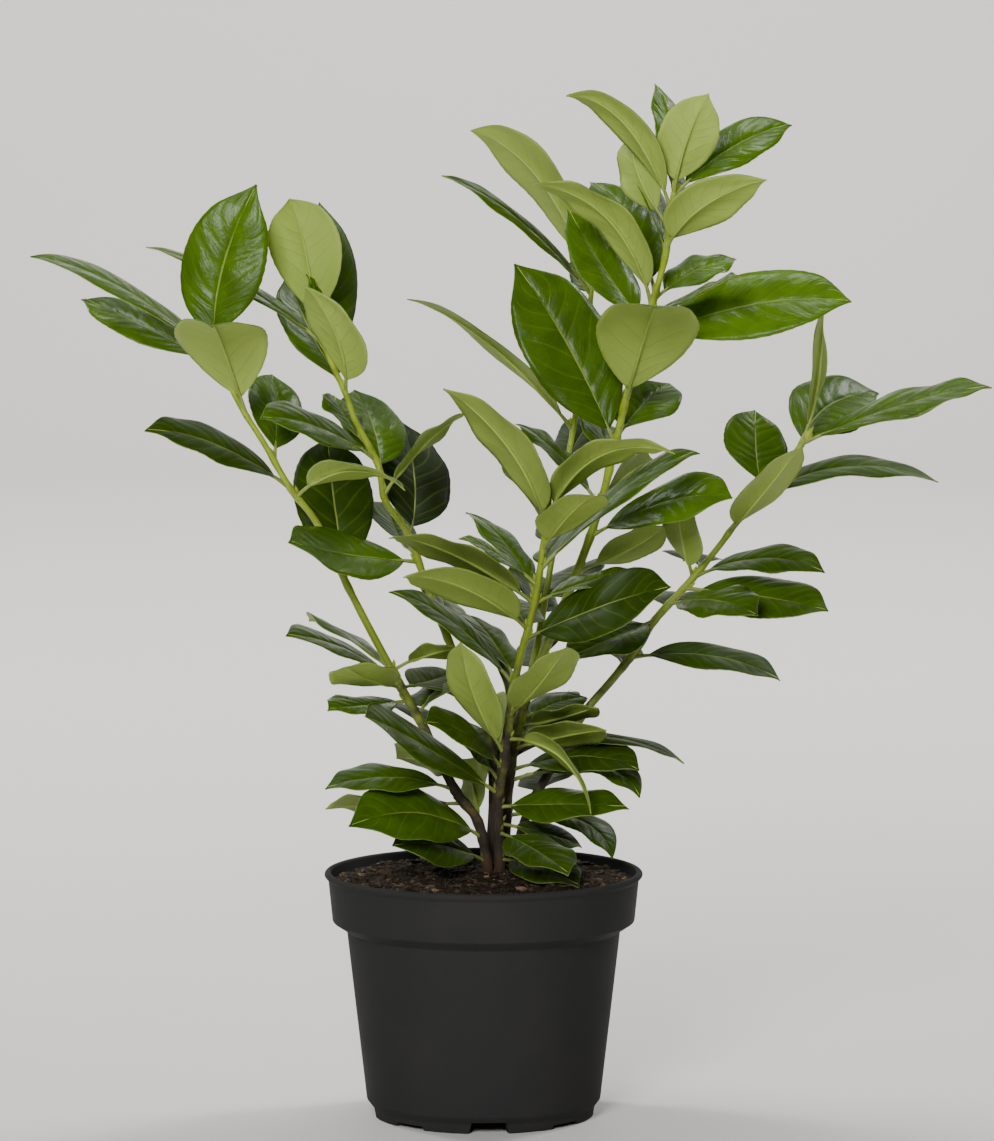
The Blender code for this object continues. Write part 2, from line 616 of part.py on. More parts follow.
def soil_height(x, y):
    """The lumpy top of the potting mix: a low mound with coarse and fine waves."""
    radius = math.hypot(x, y) / (BAND_TOP_WIDTH / 2)
    mound = SOIL_MOUND * (1 - radius ** 2)
    lumps = 0.0
    for share, *waves in SOIL_WAVES:
        lumps += share * math.prod(math.sin(a * x + b * y + shift) for a, b, shift in waves)
    return SOIL_EDGE_Z + mound + SOIL_LUMP * lumps * (1 - radius ** 4)


def soil_profile():
    """From the middle of the top out to the edge, down the pot's inside and back to the axis."""
    inside_foot = WALL_FOOT_WIDTH / 2 - WALL - GAP
    inside_top = WALL_TOP_WIDTH / 2 - WALL - GAP
    band = BAND_FOOT_WIDTH / 2 - WALL - GAP
    top = band + (BAND_TOP_WIDTH - BAND_FOOT_WIDTH) / 2 * SOIL_EDGE_SHARE
    floor_top = FLOOR_Z + FLOOR_THICKNESS + GAP
    rings = [(top * ring / SOIL_RINGS, SOIL_EDGE_Z) for ring in range(SOIL_RINGS + 1)]
    return rings + [
        (band, BAND_FOOT_Z + WALL + GAP),
        (inside_top, WALL_TOP_Z + WALL / 2 + GAP),
        (inside_foot, WALL_FOOT_Z + FLOOR_THICKNESS + GAP),
        (inside_foot - 2 * FLOOR_THICKNESS, floor_top),
        (0.0, floor_top),
    ]


def soil(parts, cutters):
    body = turned("soil", soil_profile(), SOIL_STEPS, parts)
    apply_modifiers(body)
    for vert in body.data.vertices:
        if abs(vert.co.z - SOIL_EDGE_Z) < WELD:
            vert.co.z = soil_height(vert.co.x, vert.co.y)
    for name, stems, _ in SHOOTS:
        pixels, foot_radius, tip_radius = stems[0]
        route = stem_route(pixels)
        radii = [radius + GAP for radius in stem_radii(route, foot_radius, tip_radius)]
        route[0] = route[0] - Vector((0.0, 0.0, GAP))
        tube(f"{name}_hole", route[:STEM_POINTS_IN_MIX], radii[:STEM_POINTS_IN_MIX], cutters)
    boolean(body, "DIFFERENCE", cutters)
    body.data.materials.append(material("soil", SOIL_BROWN, 0.95))
    smooth(body.data)
    return body


def main():
    clear_scene()
    parts = new_collection(NAME)
    cutters = new_collection("cutters")
    pieces = new_collection("loose_leaves")
    placing = new_object("pot_place", None, parts)
    made = [pot(parts, cutters), soil(parts, cutters)]
    for name, stems, leaf_lists in SHOOTS:
        made.append(shoot(name, stems, leaf_lists, parts, pieces))
    placing.location = POT_PLACE
    for obj in made:
        obj.parent = placing


if __name__ == "__main__":
    main()
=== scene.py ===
"""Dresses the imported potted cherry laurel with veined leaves, barked stems, potting mix and pot.

Metres, +Z up, the floor at z = 0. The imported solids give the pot's place and its sizes. Stems and
leaves are placed as in the part's source: by the pixels at which the photograph shows them, each
with a depth in millimetres behind the pot's middle plane (negative is nearer to the viewer).
"""

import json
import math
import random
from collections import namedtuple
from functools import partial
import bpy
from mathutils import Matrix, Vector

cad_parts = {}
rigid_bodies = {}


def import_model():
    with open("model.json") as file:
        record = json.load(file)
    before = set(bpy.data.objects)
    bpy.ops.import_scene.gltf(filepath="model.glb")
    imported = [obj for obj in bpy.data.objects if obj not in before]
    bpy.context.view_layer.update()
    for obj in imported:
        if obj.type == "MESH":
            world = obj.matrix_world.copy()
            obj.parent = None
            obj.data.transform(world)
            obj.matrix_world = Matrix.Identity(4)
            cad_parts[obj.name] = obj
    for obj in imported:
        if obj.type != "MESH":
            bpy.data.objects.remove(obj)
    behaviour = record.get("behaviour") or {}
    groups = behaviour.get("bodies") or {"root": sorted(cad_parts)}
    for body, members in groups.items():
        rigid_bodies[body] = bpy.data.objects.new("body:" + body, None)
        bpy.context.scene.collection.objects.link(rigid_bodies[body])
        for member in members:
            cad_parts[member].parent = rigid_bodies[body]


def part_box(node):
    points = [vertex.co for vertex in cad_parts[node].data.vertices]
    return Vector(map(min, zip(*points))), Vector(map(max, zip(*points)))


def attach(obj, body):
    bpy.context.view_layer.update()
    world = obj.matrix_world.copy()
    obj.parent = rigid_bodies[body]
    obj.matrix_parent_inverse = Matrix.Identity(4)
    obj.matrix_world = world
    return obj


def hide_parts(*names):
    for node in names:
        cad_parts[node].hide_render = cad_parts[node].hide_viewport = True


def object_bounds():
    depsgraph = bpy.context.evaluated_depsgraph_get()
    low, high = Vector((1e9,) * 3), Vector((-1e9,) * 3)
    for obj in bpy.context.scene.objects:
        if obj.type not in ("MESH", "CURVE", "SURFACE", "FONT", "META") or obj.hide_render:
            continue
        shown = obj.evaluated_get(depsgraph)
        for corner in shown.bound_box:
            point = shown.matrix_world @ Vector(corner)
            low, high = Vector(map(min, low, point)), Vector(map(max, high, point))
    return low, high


bl_info = {
    "name": "Potted Cherry Laurel",
    "version": (1, 0, 0),
    "blender": (4, 5, 0),
    "location": "3D View > Sidebar > Laurel",
    "description": "Adds the leaves, stems, potting mix and pot of a young cherry laurel",
    "category": "Add Mesh",
}

import bmesh
import bpy
from bpy.props import FloatProperty, FloatVectorProperty, IntProperty, PointerProperty
from mathutils import Matrix, Vector, noise

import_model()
CAD_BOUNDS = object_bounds()

MM = 0.001
POT_LOW, POT_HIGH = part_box("pot")
SOIL_LOW, SOIL_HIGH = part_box("soil")

# The photograph: its size and the eye it was taken from, from the pot's axis on the floor
PHOTO_WIDTH = 994
PHOTO_HEIGHT = 1141
EYE = Vector((0.008, -3.5, 0.68))
AIM = Vector((0.008, 0.0, 0.3270))
EYE_TO_PICTURE = 5920.0
POT_PLACE = Vector(((POT_LOW.x + POT_HIGH.x) / 2, (POT_LOW.y + POT_HIGH.y) / 2, 0.0))

# Leaf form, as in the part's source
STEM_FOOT_Z = 0.072
STEM_BEND_Z = 0.105
PETIOLE = 0.010
PETIOLE_WIDTH = 0.0026
PETIOLE_SHARE = 0.25
FOLD = 0.20
FLATTEN = 0.22
ARCH = 0.12

# The blade's outline, a sine raised to a power: how blunt its ends are, how much fuller its middle
# is, and how far its widest place lies past the middle
END_POWER = 0.74
MIDDLE_POWER = 0.6
LEAN = 0.95
MIDRIB_TAPER = 0.6

Leaf = namedtuple("Leaf", "base tip reach seen face mid width fold tone")


def seen(x, y, depth):
    """The point at this depth that the photograph shows at pixel x, y."""
    ahead = (AIM - EYE).normalized()
    right = Vector((1.0, 0.0, 0.0))
    up = right.cross(ahead)
    ray = ahead + right * ((x - PHOTO_WIDTH / 2) / EYE_TO_PICTURE)
    ray += up * ((PHOTO_HEIGHT / 2 - y) / EYE_TO_PICTURE)
    return EYE + ray * ((depth * MM - EYE.y) / ray.y)


def leaf(base, tip, reach, seen_width, face, mid=None, width=40, fold=FOLD, tone=0.0):
    """One leaf: pixels of its base, tip and middle, how far back its tip lies, and what shows.

    reach and width are in millimetres; mid may add how far its middle lies behind a straight rib.
    tone is painted light (above 0) or painted shade (below 0) on this leaf, beyond what its place
    on the plant gives.
    """
    return Leaf(base, tip, reach, seen_width, face, mid, width, fold, tone)


# Each shoot: its stem's points as pixel x, y and depth, from the soil up, then its leaves.
# face says which side of a leaf shows: "top" is the dark glossy one, "under" the pale one.
# tone is painted light (above 0) or painted shade (below 0) on one leaf
LEFT_STEM = [(488, 868, -9), (478, 822, -10), (455, 790, -12), (425, 730, -13), (397, 680, -15),
             (352, 595, -18), (318, 525, -21), (290, 488, -25), (265, 445, -30), (240, 405, -36),
             (219, 362, -41), (214, 345, -43)]
LEFT_LEAVES = [
    leaf((214, 348), (257, 183), 8, 82, "top", mid=(222, 270), width=50),
    leaf((217, 362), (29, 256), -8, 17, "top", mid=(120, 287), width=46, tone=-0.15),
    leaf((219, 366), (81, 296), 34, 32, "top", mid=(145, 327), width=42),
    leaf((243, 415), (212, 326), -84, 84, "under", mid=(222, 342, 10), width=53, fold=0.28,
         tone=-0.25),
    leaf((290, 488), (144, 429), -30, 32, "top", mid=(213, 443), width=44, tone=-0.35),
    leaf((276, 463), (272, 373), 62, 55, "top", width=36),
    leaf((297, 495), (407, 490), -50, 19, "under", mid=(350, 469), width=38),
    leaf((343, 582), (328, 435), 52, 78, "top", mid=(334, 500), width=48, tone=-0.40),
    leaf((388, 668), (310, 618), 66, 9, "top", mid=(347, 635)),
    leaf((392, 682), (286, 634), -48, 14, "top", mid=(338, 646)),
    leaf((395, 690), (345, 665), -72, 34, "under", mid=(367, 677), width=38),
    leaf((413, 702), (328, 708), -40, 20, "top", mid=(366, 705), width=36),
    leaf((398, 672), (462, 650), -22, 15, "under", mid=(432, 652), width=32),
    leaf((400, 690), (458, 672), 58, 34, "top", mid=(432, 680), width=34),
    leaf((456, 792), (324, 788), -22, 28, "top", mid=(388, 777), width=42, tone=0.20),
    leaf((484, 838), (348, 826), -56, 50, "top", mid=(419, 813), width=48, tone=0.12),
    leaf((488, 862), (392, 845), -42, 34, "top", mid=(440, 845), width=38),
    leaf((444, 768), (397, 757), 44, 22, "under", width=34),
    leaf((480, 824), (465, 758), 28, 30, "under", width=36),
    leaf((464, 804), (325, 806), 30, 14, "under", mid=(392, 804)),
    leaf((424, 728), (400, 706), 80, 30, "top", width=38),
    leaf((420, 718), (447, 680), 36, 30, "top", width=36),
]

INNER_LEFT_STEM = [(489, 868, 5), (493, 800, 7), (490, 740, 8), (470, 690, 8), (455, 655, 7),
                   (440, 620, 6), (425, 580, 5), (407, 532, 3), (385, 500, 1), (378, 465, 0),
                   (355, 420, -3), (345, 392, -5), (330, 360, -7), (317, 332, -9)]
INNER_LEFT_LEAVES = [
    leaf((322, 343), (145, 246), 14, 14, "top", mid=(232, 280), width=42),
    leaf((318, 336), (290, 197), -10, 70, "under", mid=(306, 250), width=45),
    leaf((335, 368), (320, 201), 42, 56, "top", mid=(329, 276), width=44, tone=-0.25),
    leaf((345, 392), (304, 284), -44, 42, "under", mid=(339, 338), width=42),
    leaf((321, 340), (308, 273), -14, 10, "top", width=12),
    leaf((343, 388), (286, 275), 50, 48, "top", mid=(312, 333), width=42),
    leaf((368, 448), (334, 393), 34, 25, "top", mid=(346, 418), width=32),
    leaf((380, 474), (354, 389), 74, 58, "top", mid=(374, 428), width=42),
    leaf((373, 463), (260, 417), -52, 28, "top", mid=(316, 426), width=42),
    leaf((388, 495), (468, 412), -22, 9, "under", mid=(425, 442), width=34),
    leaf((408, 540), (402, 420), 66, 72, "top", mid=(415, 482), width=46, tone=-0.35),
    leaf((415, 556), (388, 500), 60, 30, "top", mid=(396, 530), width=36),
    leaf((416, 566), (290, 540), -78, 44, "top", mid=(342, 553), width=44),
    leaf((446, 636), (428, 580), 78, 38, "top", width=42),
    leaf((484, 722), (440, 676), 70, 36, "top"),
    leaf((492, 776), (468, 722), 62, 34, "top", width=38),
]

FRONT_STEM = [(500, 868, -7), (498, 800, -11), (504, 760, -15), (509, 720, -18), (513, 690, -21),
              (522, 650, -25), (528, 630, -27), (535, 600, -31), (540, 570, -35), (545, 530, -39),
              (548, 507, -42)]
FRONT_LEAVES = [
    leaf((530, 602), (388, 535), -46, 28, "under", mid=(458, 555), width=44, tone=-0.35),
    leaf((527, 630), (402, 575), -62, 36, "under", mid=(468, 588), width=44, tone=-0.25),
    leaf((513, 683), (388, 590), -2, 20, "top", mid=(452, 622)),
    leaf((514, 682), (466, 612), 58, 26, "top", mid=(494, 642), width=36),
    leaf((505, 754), (462, 640), -42, 38, "under", mid=(475, 694), width=34),
    leaf((512, 718), (567, 645), -68, 40, "under", mid=(541, 680)),
    leaf((528, 640), (671, 586), -46, 58, "top", mid=(602, 606), width=50, tone=-0.42),
    leaf((537, 606), (655, 572), 36, 16, "top", mid=(600, 578), width=36),
    leaf((544, 527), (443, 386), -26, 38, "under", mid=(512, 450), width=46, tone=-0.40),
    leaf((547, 520), (677, 453), -46, 26, "under", mid=(598, 455)),
    leaf((544, 530), (503, 455), 44, 20, "top", width=32),
    leaf((541, 570), (700, 450), -12, 16, "top", mid=(628, 487), width=42),
    leaf((546, 548), (598, 492), -62, 42, "under", width=38),
    leaf((540, 574), (578, 522), 54, 22, "top", width=32),
    leaf((510, 728), (497, 645), 46, 13, "top", width=34),
    leaf((533, 596), (466, 511), 44, 26, "top", mid=(507, 545), width=36),
    leaf((538, 586), (460, 535), -12, 9, "top", mid=(499, 556), width=28),
    leaf((508, 737), (592, 815), -40, 13, "under", mid=(562, 756), width=34),
    leaf((498, 808), (630, 806), -30, 36, "top", mid=(560, 804), width=42, tone=0.15),
    leaf((499, 824), (583, 846), 6, 22, "top", mid=(545, 833), width=34),
    leaf((500, 832), (569, 873), -60, 40, "top", mid=(536, 850), width=38, tone=0.15),
    leaf((500, 860), (580, 885), -42, 34, "top", mid=(540, 867), width=38),
    leaf((499, 782), (452, 736), -16, 8, "top", width=30),
    leaf((501, 768), (425, 722), -58, 24, "top", mid=(465, 732), width=34),
    leaf((498, 792), (365, 716), -86, 32, "top", mid=(416, 741), width=42),
    leaf((527, 634), (498, 592), 62, 36, "top"),
]

TALL_STEM = [(504, 868, 11), (507, 800, 12), (512, 755, 13), (522, 712, 14), (533, 680, 15),
             (547, 645, 17), (562, 610, 18), (573, 582, 19), (590, 537, 19), (603, 495, 17),
             (615, 445, 13), (627, 395, 8), (640, 345, 3), (655, 295, -2), (665, 258, -5),
             (670, 225, -8), (674, 192, -10)]
BACK_STEM = [(522, 712, 14), (529, 680, 24), (538, 640, 34), (550, 570, 48), (560, 500, 58),
             (573, 430, 64), (582, 370, 67), (588, 330, 68), (592, 282, 69)]
TALL_LEAVES = [
    leaf((673, 194), (656, 82), 34, 28, "top", mid=(670, 134), width=28),
    leaf((674, 195), (709, 92), -24, 58, "under", mid=(686, 142), width=35, tone=0.20),
    leaf((671, 212), (565, 93), -20, 28, "under", mid=(628, 125), width=38),
    leaf((674, 198), (793, 123), 22, 40, "top", mid=(732, 147), width=36),
    leaf((667, 249), (768, 178), -44, 50, "under", mid=(702, 206), width=38),
    leaf((670, 228), (640, 124), 34, 44, "under", mid=(637, 166), width=36),
    leaf((672, 206), (662, 135), 50, 20, "top", width=30),
    leaf((666, 256), (637, 163), 46, 22, "top", width=36),
    leaf((656, 294), (590, 180), 58, 56, "top", mid=(631, 221), width=44),
    leaf((652, 305), (530, 183), -34, 36, "under", mid=(609, 218), width=44),
    leaf((646, 326), (568, 207), 30, 50, "top", mid=(604, 268), width=42),
    leaf((652, 302), (737, 257), 34, 30, "top", mid=(694, 271), width=32),
    leaf((652, 315), (738, 272), -50, 8, "top", mid=(696, 294), width=28),
    leaf((644, 340), (853, 301), -16, 66, "top", mid=(755, 304), width=50, tone=0.20),
    leaf((625, 409), (656, 306), -88, 98, "under", mid=(647, 327, 10), width=60, fold=0.14),
    leaf((614, 445), (514, 262), 22, 90, "top", mid=(569, 347), width=56),
    leaf((618, 440), (670, 382), 50, 52, "top", width=42),
    leaf((612, 474), (588, 408), 58, 38, "top", width=36),
    leaf((600, 506), (515, 423), 28, 16, "top", mid=(556, 452), width=36),
    leaf((592, 535), (733, 498), -46, 40, "top", mid=(669, 501), width=44, tone=0.45),
    leaf((603, 500), (652, 458), 38, 22, "under", width=36),
    leaf((578, 574), (664, 525), -12, 32, "under", mid=(631, 547), width=36),
    leaf((516, 748), (573, 688), 50, 42, "top", width=42),
    leaf((521, 722), (588, 696), 26, 20, "top", width=32),
    leaf((519, 728), (598, 706), -40, 20, "under", mid=(562, 716), width=32),
    leaf((513, 752), (607, 730), -48, 27, "under", mid=(562, 735), width=38),
    leaf((517, 736), (686, 763), -4, 10, "top", mid=(613, 738), width=34),
    leaf((511, 772), (640, 770), -37, 32, "top", mid=(584, 756)),
    leaf((510, 784), (641, 798), -24, 18, "top", mid=(596, 766), width=36),
    leaf((508, 815), (613, 860), -18, 22, "top", mid=(580, 820), width=30),
    leaf((512, 764), (548, 726), 70, 36, "top", width=38),
    leaf((568, 610), (590, 560), 74, 40, "top"),
    leaf((638, 352), (612, 322), 88, 44, "top", width=42),
    leaf((536, 674), (556, 620), 74, 38, "top"),
    leaf((513, 750), (484, 708), 84, 38, "under"),
]
BACK_LEAVES = [
    leaf((592, 284), (470, 129), 16, 38, "under", mid=(540, 178), width=44),
    leaf((590, 296), (441, 174), -12, 14, "top", mid=(516, 218), width=42),
    leaf((573, 430), (406, 298), -14, 16, "under", mid=(489, 342), width=42),
    leaf((590, 306), (606, 224), 44, 44, "top"),
    leaf((576, 412), (560, 330), 62, 46, "top", width=42),
    leaf((566, 466), (604, 410), 58, 40, "top", width=38),
    leaf((555, 556), (576, 500), 56, 40, "top", width=38),
    leaf((541, 622), (524, 566), 40, 38, "top"),
]

RIGHT_STEM = [(512, 868, 25), (528, 812, 27), (556, 760, 29), (585, 712, 31), (612, 680, 32),
              (640, 645, 32), (655, 620, 31), (693, 578, 28), (720, 545, 25), (735, 525, 24),
              (770, 485, 21), (790, 460, 19), (804, 441, 18)]
RIGHT_LEAVES = [
    leaf((806, 440), (821, 300), 8, 12, "under", mid=(818, 370), width=38),
    leaf((798, 450), (880, 393), 66, 70, "top", mid=(828, 406), width=46),
    leaf((803, 443), (993, 385), -16, 27, "top", mid=(906, 403), width=42),
    leaf((757, 492), (756, 408), 36, 62, "top", mid=(756, 449), width=42),
    leaf((728, 533), (803, 443), -48, 34, "under", mid=(764, 490)),
    leaf((755, 503), (940, 482), 18, 18, "top", mid=(840, 467)),
    leaf((788, 464), (765, 500), 40, 15, "top", width=26),
    leaf((694, 577), (678, 494), -14, 34, "under", mid=(684, 540), width=38),
    leaf((696, 577), (826, 572), -30, 22, "top", mid=(762, 558), width=38),
    leaf((686, 587), (829, 610), -44, 46, "top", mid=(765, 597), width=42),
    leaf((668, 606), (758, 615), -70, 30, "top", mid=(714, 600), width=38),
    leaf((654, 622), (563, 659), -46, 38, "top", mid=(614, 637), width=42),
    leaf((633, 656), (782, 680), -22, 29, "top", mid=(714, 656)),
    leaf((622, 668), (600, 644), 82, 32, "top", width=38),
    leaf((700, 571), (684, 558), 84, 28, "top", width=36),
    leaf((664, 610), (690, 596), 84, 34, "top"),
    leaf((534, 798), (562, 768), 60, 34, "top", width=38),
]

# Node, slot, and its stems: each one's points, radii in millimetres at foot and tip, and leaves
SHOOTS = [
    ("left_shoot", "left_foliage", [(LEFT_STEM, 3.3, 1.5, LEFT_LEAVES)]),
    ("inner_left_shoot", "inner_left_foliage", [(INNER_LEFT_STEM, 3.2, 1.5, INNER_LEFT_LEAVES)]),
    ("front_shoot", "front_foliage", [(FRONT_STEM, 3.6, 1.6, FRONT_LEAVES)]),
    ("tall_shoot", "tall_foliage", [(TALL_STEM, 3.7, 1.7, TALL_LEAVES),
                                    (BACK_STEM, 2.2, 1.4, BACK_LEAVES)]),
    ("right_shoot", "right_foliage", [(RIGHT_STEM, 3.4, 1.5, RIGHT_LEAVES)]),
]

# Fineness of the leaf meshes: columns from margin to margin, and rows between two lateral veins
LEAF_COLUMNS = 20
ROWS_PER_VEIN = 6
# How far forward the rows and the lateral veins run on their way to the margin
ROW_SLANT = 0.55
VEIN_SLANT = 0.24
# Where a blade ends, as a share of its midrib, so that its wavy tip stays inside the solid's box
TIP_SHARE = 0.992
# The drawn-out point of a blade: where it starts, and how much of the width it takes by the tip
POINT_START = 0.80
POINT_TAPER = 0.6
# Where a blade's tip starts to curl, as a share of its length
CURL_START = 0.70
# The tooth at a margin and the half width of the groove over a midrib
TOOTH = 0.0003
GROOVE_HALF_WIDTH = 0.0011
# The midrib under a blade: how far along it goes, and its radius at the tip and what the base adds
RIB_END = 0.97
RIB_TIP_RADIUS = 0.00014
RIB_BASE_RADIUS = 0.00092
# A leaf's shade, which lays its young colour over its old one: at the level of the mix, what the
# plant's full height adds, the painted light that each metre nearer to the viewer adds (painted
# shade on the leaves further back), and how far it differs from leaf to leaf
SHADE_AT_MIX = 0.19
SHADE_OF_HEIGHT = 0.72
PAINTED_LIGHT_OF_NEARNESS = 3.6
SHADE_SPREAD = 0.16
# The swelling of a stem where a leaf grows, as a share of its radius, and how far it reaches
JOINT_SWELL = 0.20
JOINT_REACH = 0.0032


def linear(code):
    """An sRGB hex colour, such as "4f6800", as linear red, green and blue."""
    values = [int(code[place:place + 2], 16) / 255 for place in (0, 2, 4)]
    return tuple(v / 12.92 if v <= 0.04045 else ((v + 0.055) / 1.055) ** 2.4 for v in values)


class LaurelLeafSettings(bpy.types.PropertyGroup):
    vein_pairs: IntProperty(
        name="Vein pairs", description="Lateral veins on each side of a midrib", default=8, min=4)
    thickness: FloatProperty(
        name="Thickness", description="Thickness of a blade", default=0.0005, unit="LENGTH")
    quilt: FloatProperty(
        name="Quilting", description="How far a blade bulges up between two lateral veins",
        default=0.00017, unit="LENGTH")
    unevenness: FloatProperty(
        name="Unevenness", description="Slow rise and fall all over a blade",
        default=0.0005, unit="LENGTH")
    groove: FloatProperty(
        name="Midrib groove", description="How deep the midrib lies in the upper side",
        default=0.0006, unit="LENGTH")
    wave: FloatProperty(
        name="Margin wave", description="Greatest rise and fall of a blade's margin",
        default=0.0018, unit="LENGTH")
    # Leaves blend from the old colour to the young one by their shade, which also carries painted
    # light on nearer leaves and painted shade on leaves further back
    young: FloatVectorProperty(
        name="Young upper side", description="Colour of a young leaf's glossy side",
        subtype="COLOR", default=linear("527604"))
    old: FloatVectorProperty(
        name="Old upper side", description="Colour of an old leaf's glossy side",
        subtype="COLOR", default=linear("152101"))
    under: FloatVectorProperty(
        name="Underside", description="Colour of the matt underside",
        subtype="COLOR", default=linear("a5bc54"))
    vein: FloatVectorProperty(
        name="Midrib", description="Colour of midribs and leaf stalks",
        subtype="COLOR", default=linear("b2c45c"))


class LaurelStemSettings(bpy.types.PropertyGroup):
    sides: IntProperty(
        name="Sides", description="Faces around a stem", default=20, min=8)
    bark: FloatVectorProperty(
        name="Bark", description="Colour of the old wood at the foot",
        subtype="COLOR", default=linear("2e2316"))
    rust: FloatVectorProperty(
        name="Rusty bark", description="Colour of the red-brown patches in the bark",
        subtype="COLOR", default=linear("4a2c1a"))
    green: FloatVectorProperty(
        name="Green wood", description="Colour of this year's growth",
        subtype="COLOR", default=linear("a4ba2a"))


class LaurelMixSettings(bpy.types.PropertyGroup):
    crumbs: IntProperty(
        name="Crumbs", description="Loose crumbs of peat and bark on the mix", default=2400)
    fibres: IntProperty(
        name="Fibres", description="Loose fibres and straws on the mix", default=260)
    peat: FloatVectorProperty(
        name="Peat", description="Colour of the damp peat", subtype="COLOR",
        default=linear("24190f"))
    bark_bits: FloatVectorProperty(
        name="Bark bits", description="Colour of the dry bark and wood fibre", subtype="COLOR",
        default=linear("5a4b3a"))


class LaurelPotSettings(bpy.types.PropertyGroup):
    steps: IntProperty(
        name="Steps", description="Faces around the pot", default=144, min=36)
    colour: FloatVectorProperty(
        name="Plastic", description="Colour of the moulded plastic", subtype="COLOR",
        default=linear("2d2d2d"))


class LaurelStageSettings(bpy.types.PropertyGroup):
    floor: FloatVectorProperty(
        name="Floor", description="Colour of floor and backdrop", subtype="COLOR",
        default=linear("dedcd8"))
    key_power: FloatProperty(
        name="Key light", description="Power of the big soft box in watts", default=120.0)


def per_metre(size):
    """The texture scale that makes a pattern's cells this many millimetres wide."""
    return 1 / (size * MM)


def rgba(colour, factor=1.0):
    """A colour setting as a shader's colour, darkened or lightened by a factor."""
    return (*(value * factor for value in tuple(colour)[:3]), 1.0)


def set_inputs(node, inputs):
    """Set a node's inputs, or link them where the value is another node's output.

    The inputs are given in order, or by name or number.
    """
    given = inputs if isinstance(inputs, dict) else dict(enumerate(inputs))
    for socket, value in given.items():
        if isinstance(value, bpy.types.NodeSocket):
            node.id_data.links.new(value, node.inputs[socket])
        else:
            node.inputs[socket].default_value = value


def add_node(tree, kind, inputs=(), output=0, **settings):
    """Add a shader node with its settings and links, and give back one of its outputs."""
    node = tree.nodes.new("ShaderNode" + kind)
    for name, value in settings.items():
        setattr(node, name, value)
    set_inputs(node, inputs)
    return node.outputs[output]


def new_material(name):
    """A node material, its Principled shader, and the function that adds nodes to it."""
    made = bpy.data.materials.new(name)
    made.use_nodes = True
    return made, made.node_tree.nodes["Principled BSDF"], partial(add_node, made.node_tree)


def coats(add, ground, *layers):
    """The ground colour under layers of colour, each a share and the colour that it lays on."""
    for share, colour in layers:
        ground = add("Mix", {0: share, 6: ground, 7: colour}, 2, data_type="RGBA")
    return ground


# Settings that many nodes share
EASED = {"interpolation_type": "SMOOTHSTEP"}
TIMES = {"operation": "MULTIPLY"}
MINUS = {"operation": "SUBTRACT"}
TIMES_PLUS = {"operation": "MULTIPLY_ADD"}
SHADE = {"output": "Fac", "attribute_name": "shade"}

Pattern = namedtuple("Pattern", "place shade side along phase veins midrib net")


def leaf_pattern(add, pairs):
    """What a blade's colours and relief follow: its own shade, and its places and veins.

    side and along run from the midrib to the margin and from base to tip, phase from one lateral
    vein to the middle of the next field, and net is the finest veins. Those fields are really about
    0.5 mm wide, and are drawn 1.6 mm wide so that they show.
    """
    across, along, _ = add("SeparateXYZ", [add("UVMap", uv_map="blade")]).node.outputs
    signed = add("Math", (across, 0.5), **MINUS)
    side = add("Math", (add("Math", [signed], operation="ABSOLUTE"), 2.0), **TIMES)
    phase = add("Math", (add("Math", (along, float(pairs)), **TIMES), 0.5), operation="PINGPONG")
    lateral = add("MapRange", (phase, 0.075, 0.015), **EASED)
    fade = add("MapRange", (side, 0.98, 0.55), **EASED)
    place = add("TexCoord", output="Object")
    fields = add("TexVoronoi", {"Vector": place, "Scale": per_metre(1.61)},
                 feature="DISTANCE_TO_EDGE")
    return Pattern(
        place=place, shade=add("Attribute", **SHADE), side=side, along=along, phase=phase,
        veins=add("Math", (lateral, fade), **TIMES),
        midrib=add("MapRange", (side, 0.034, 0.012), **EASED),
        net=add("MapRange", (fields, 0.10, 0.0), **EASED))


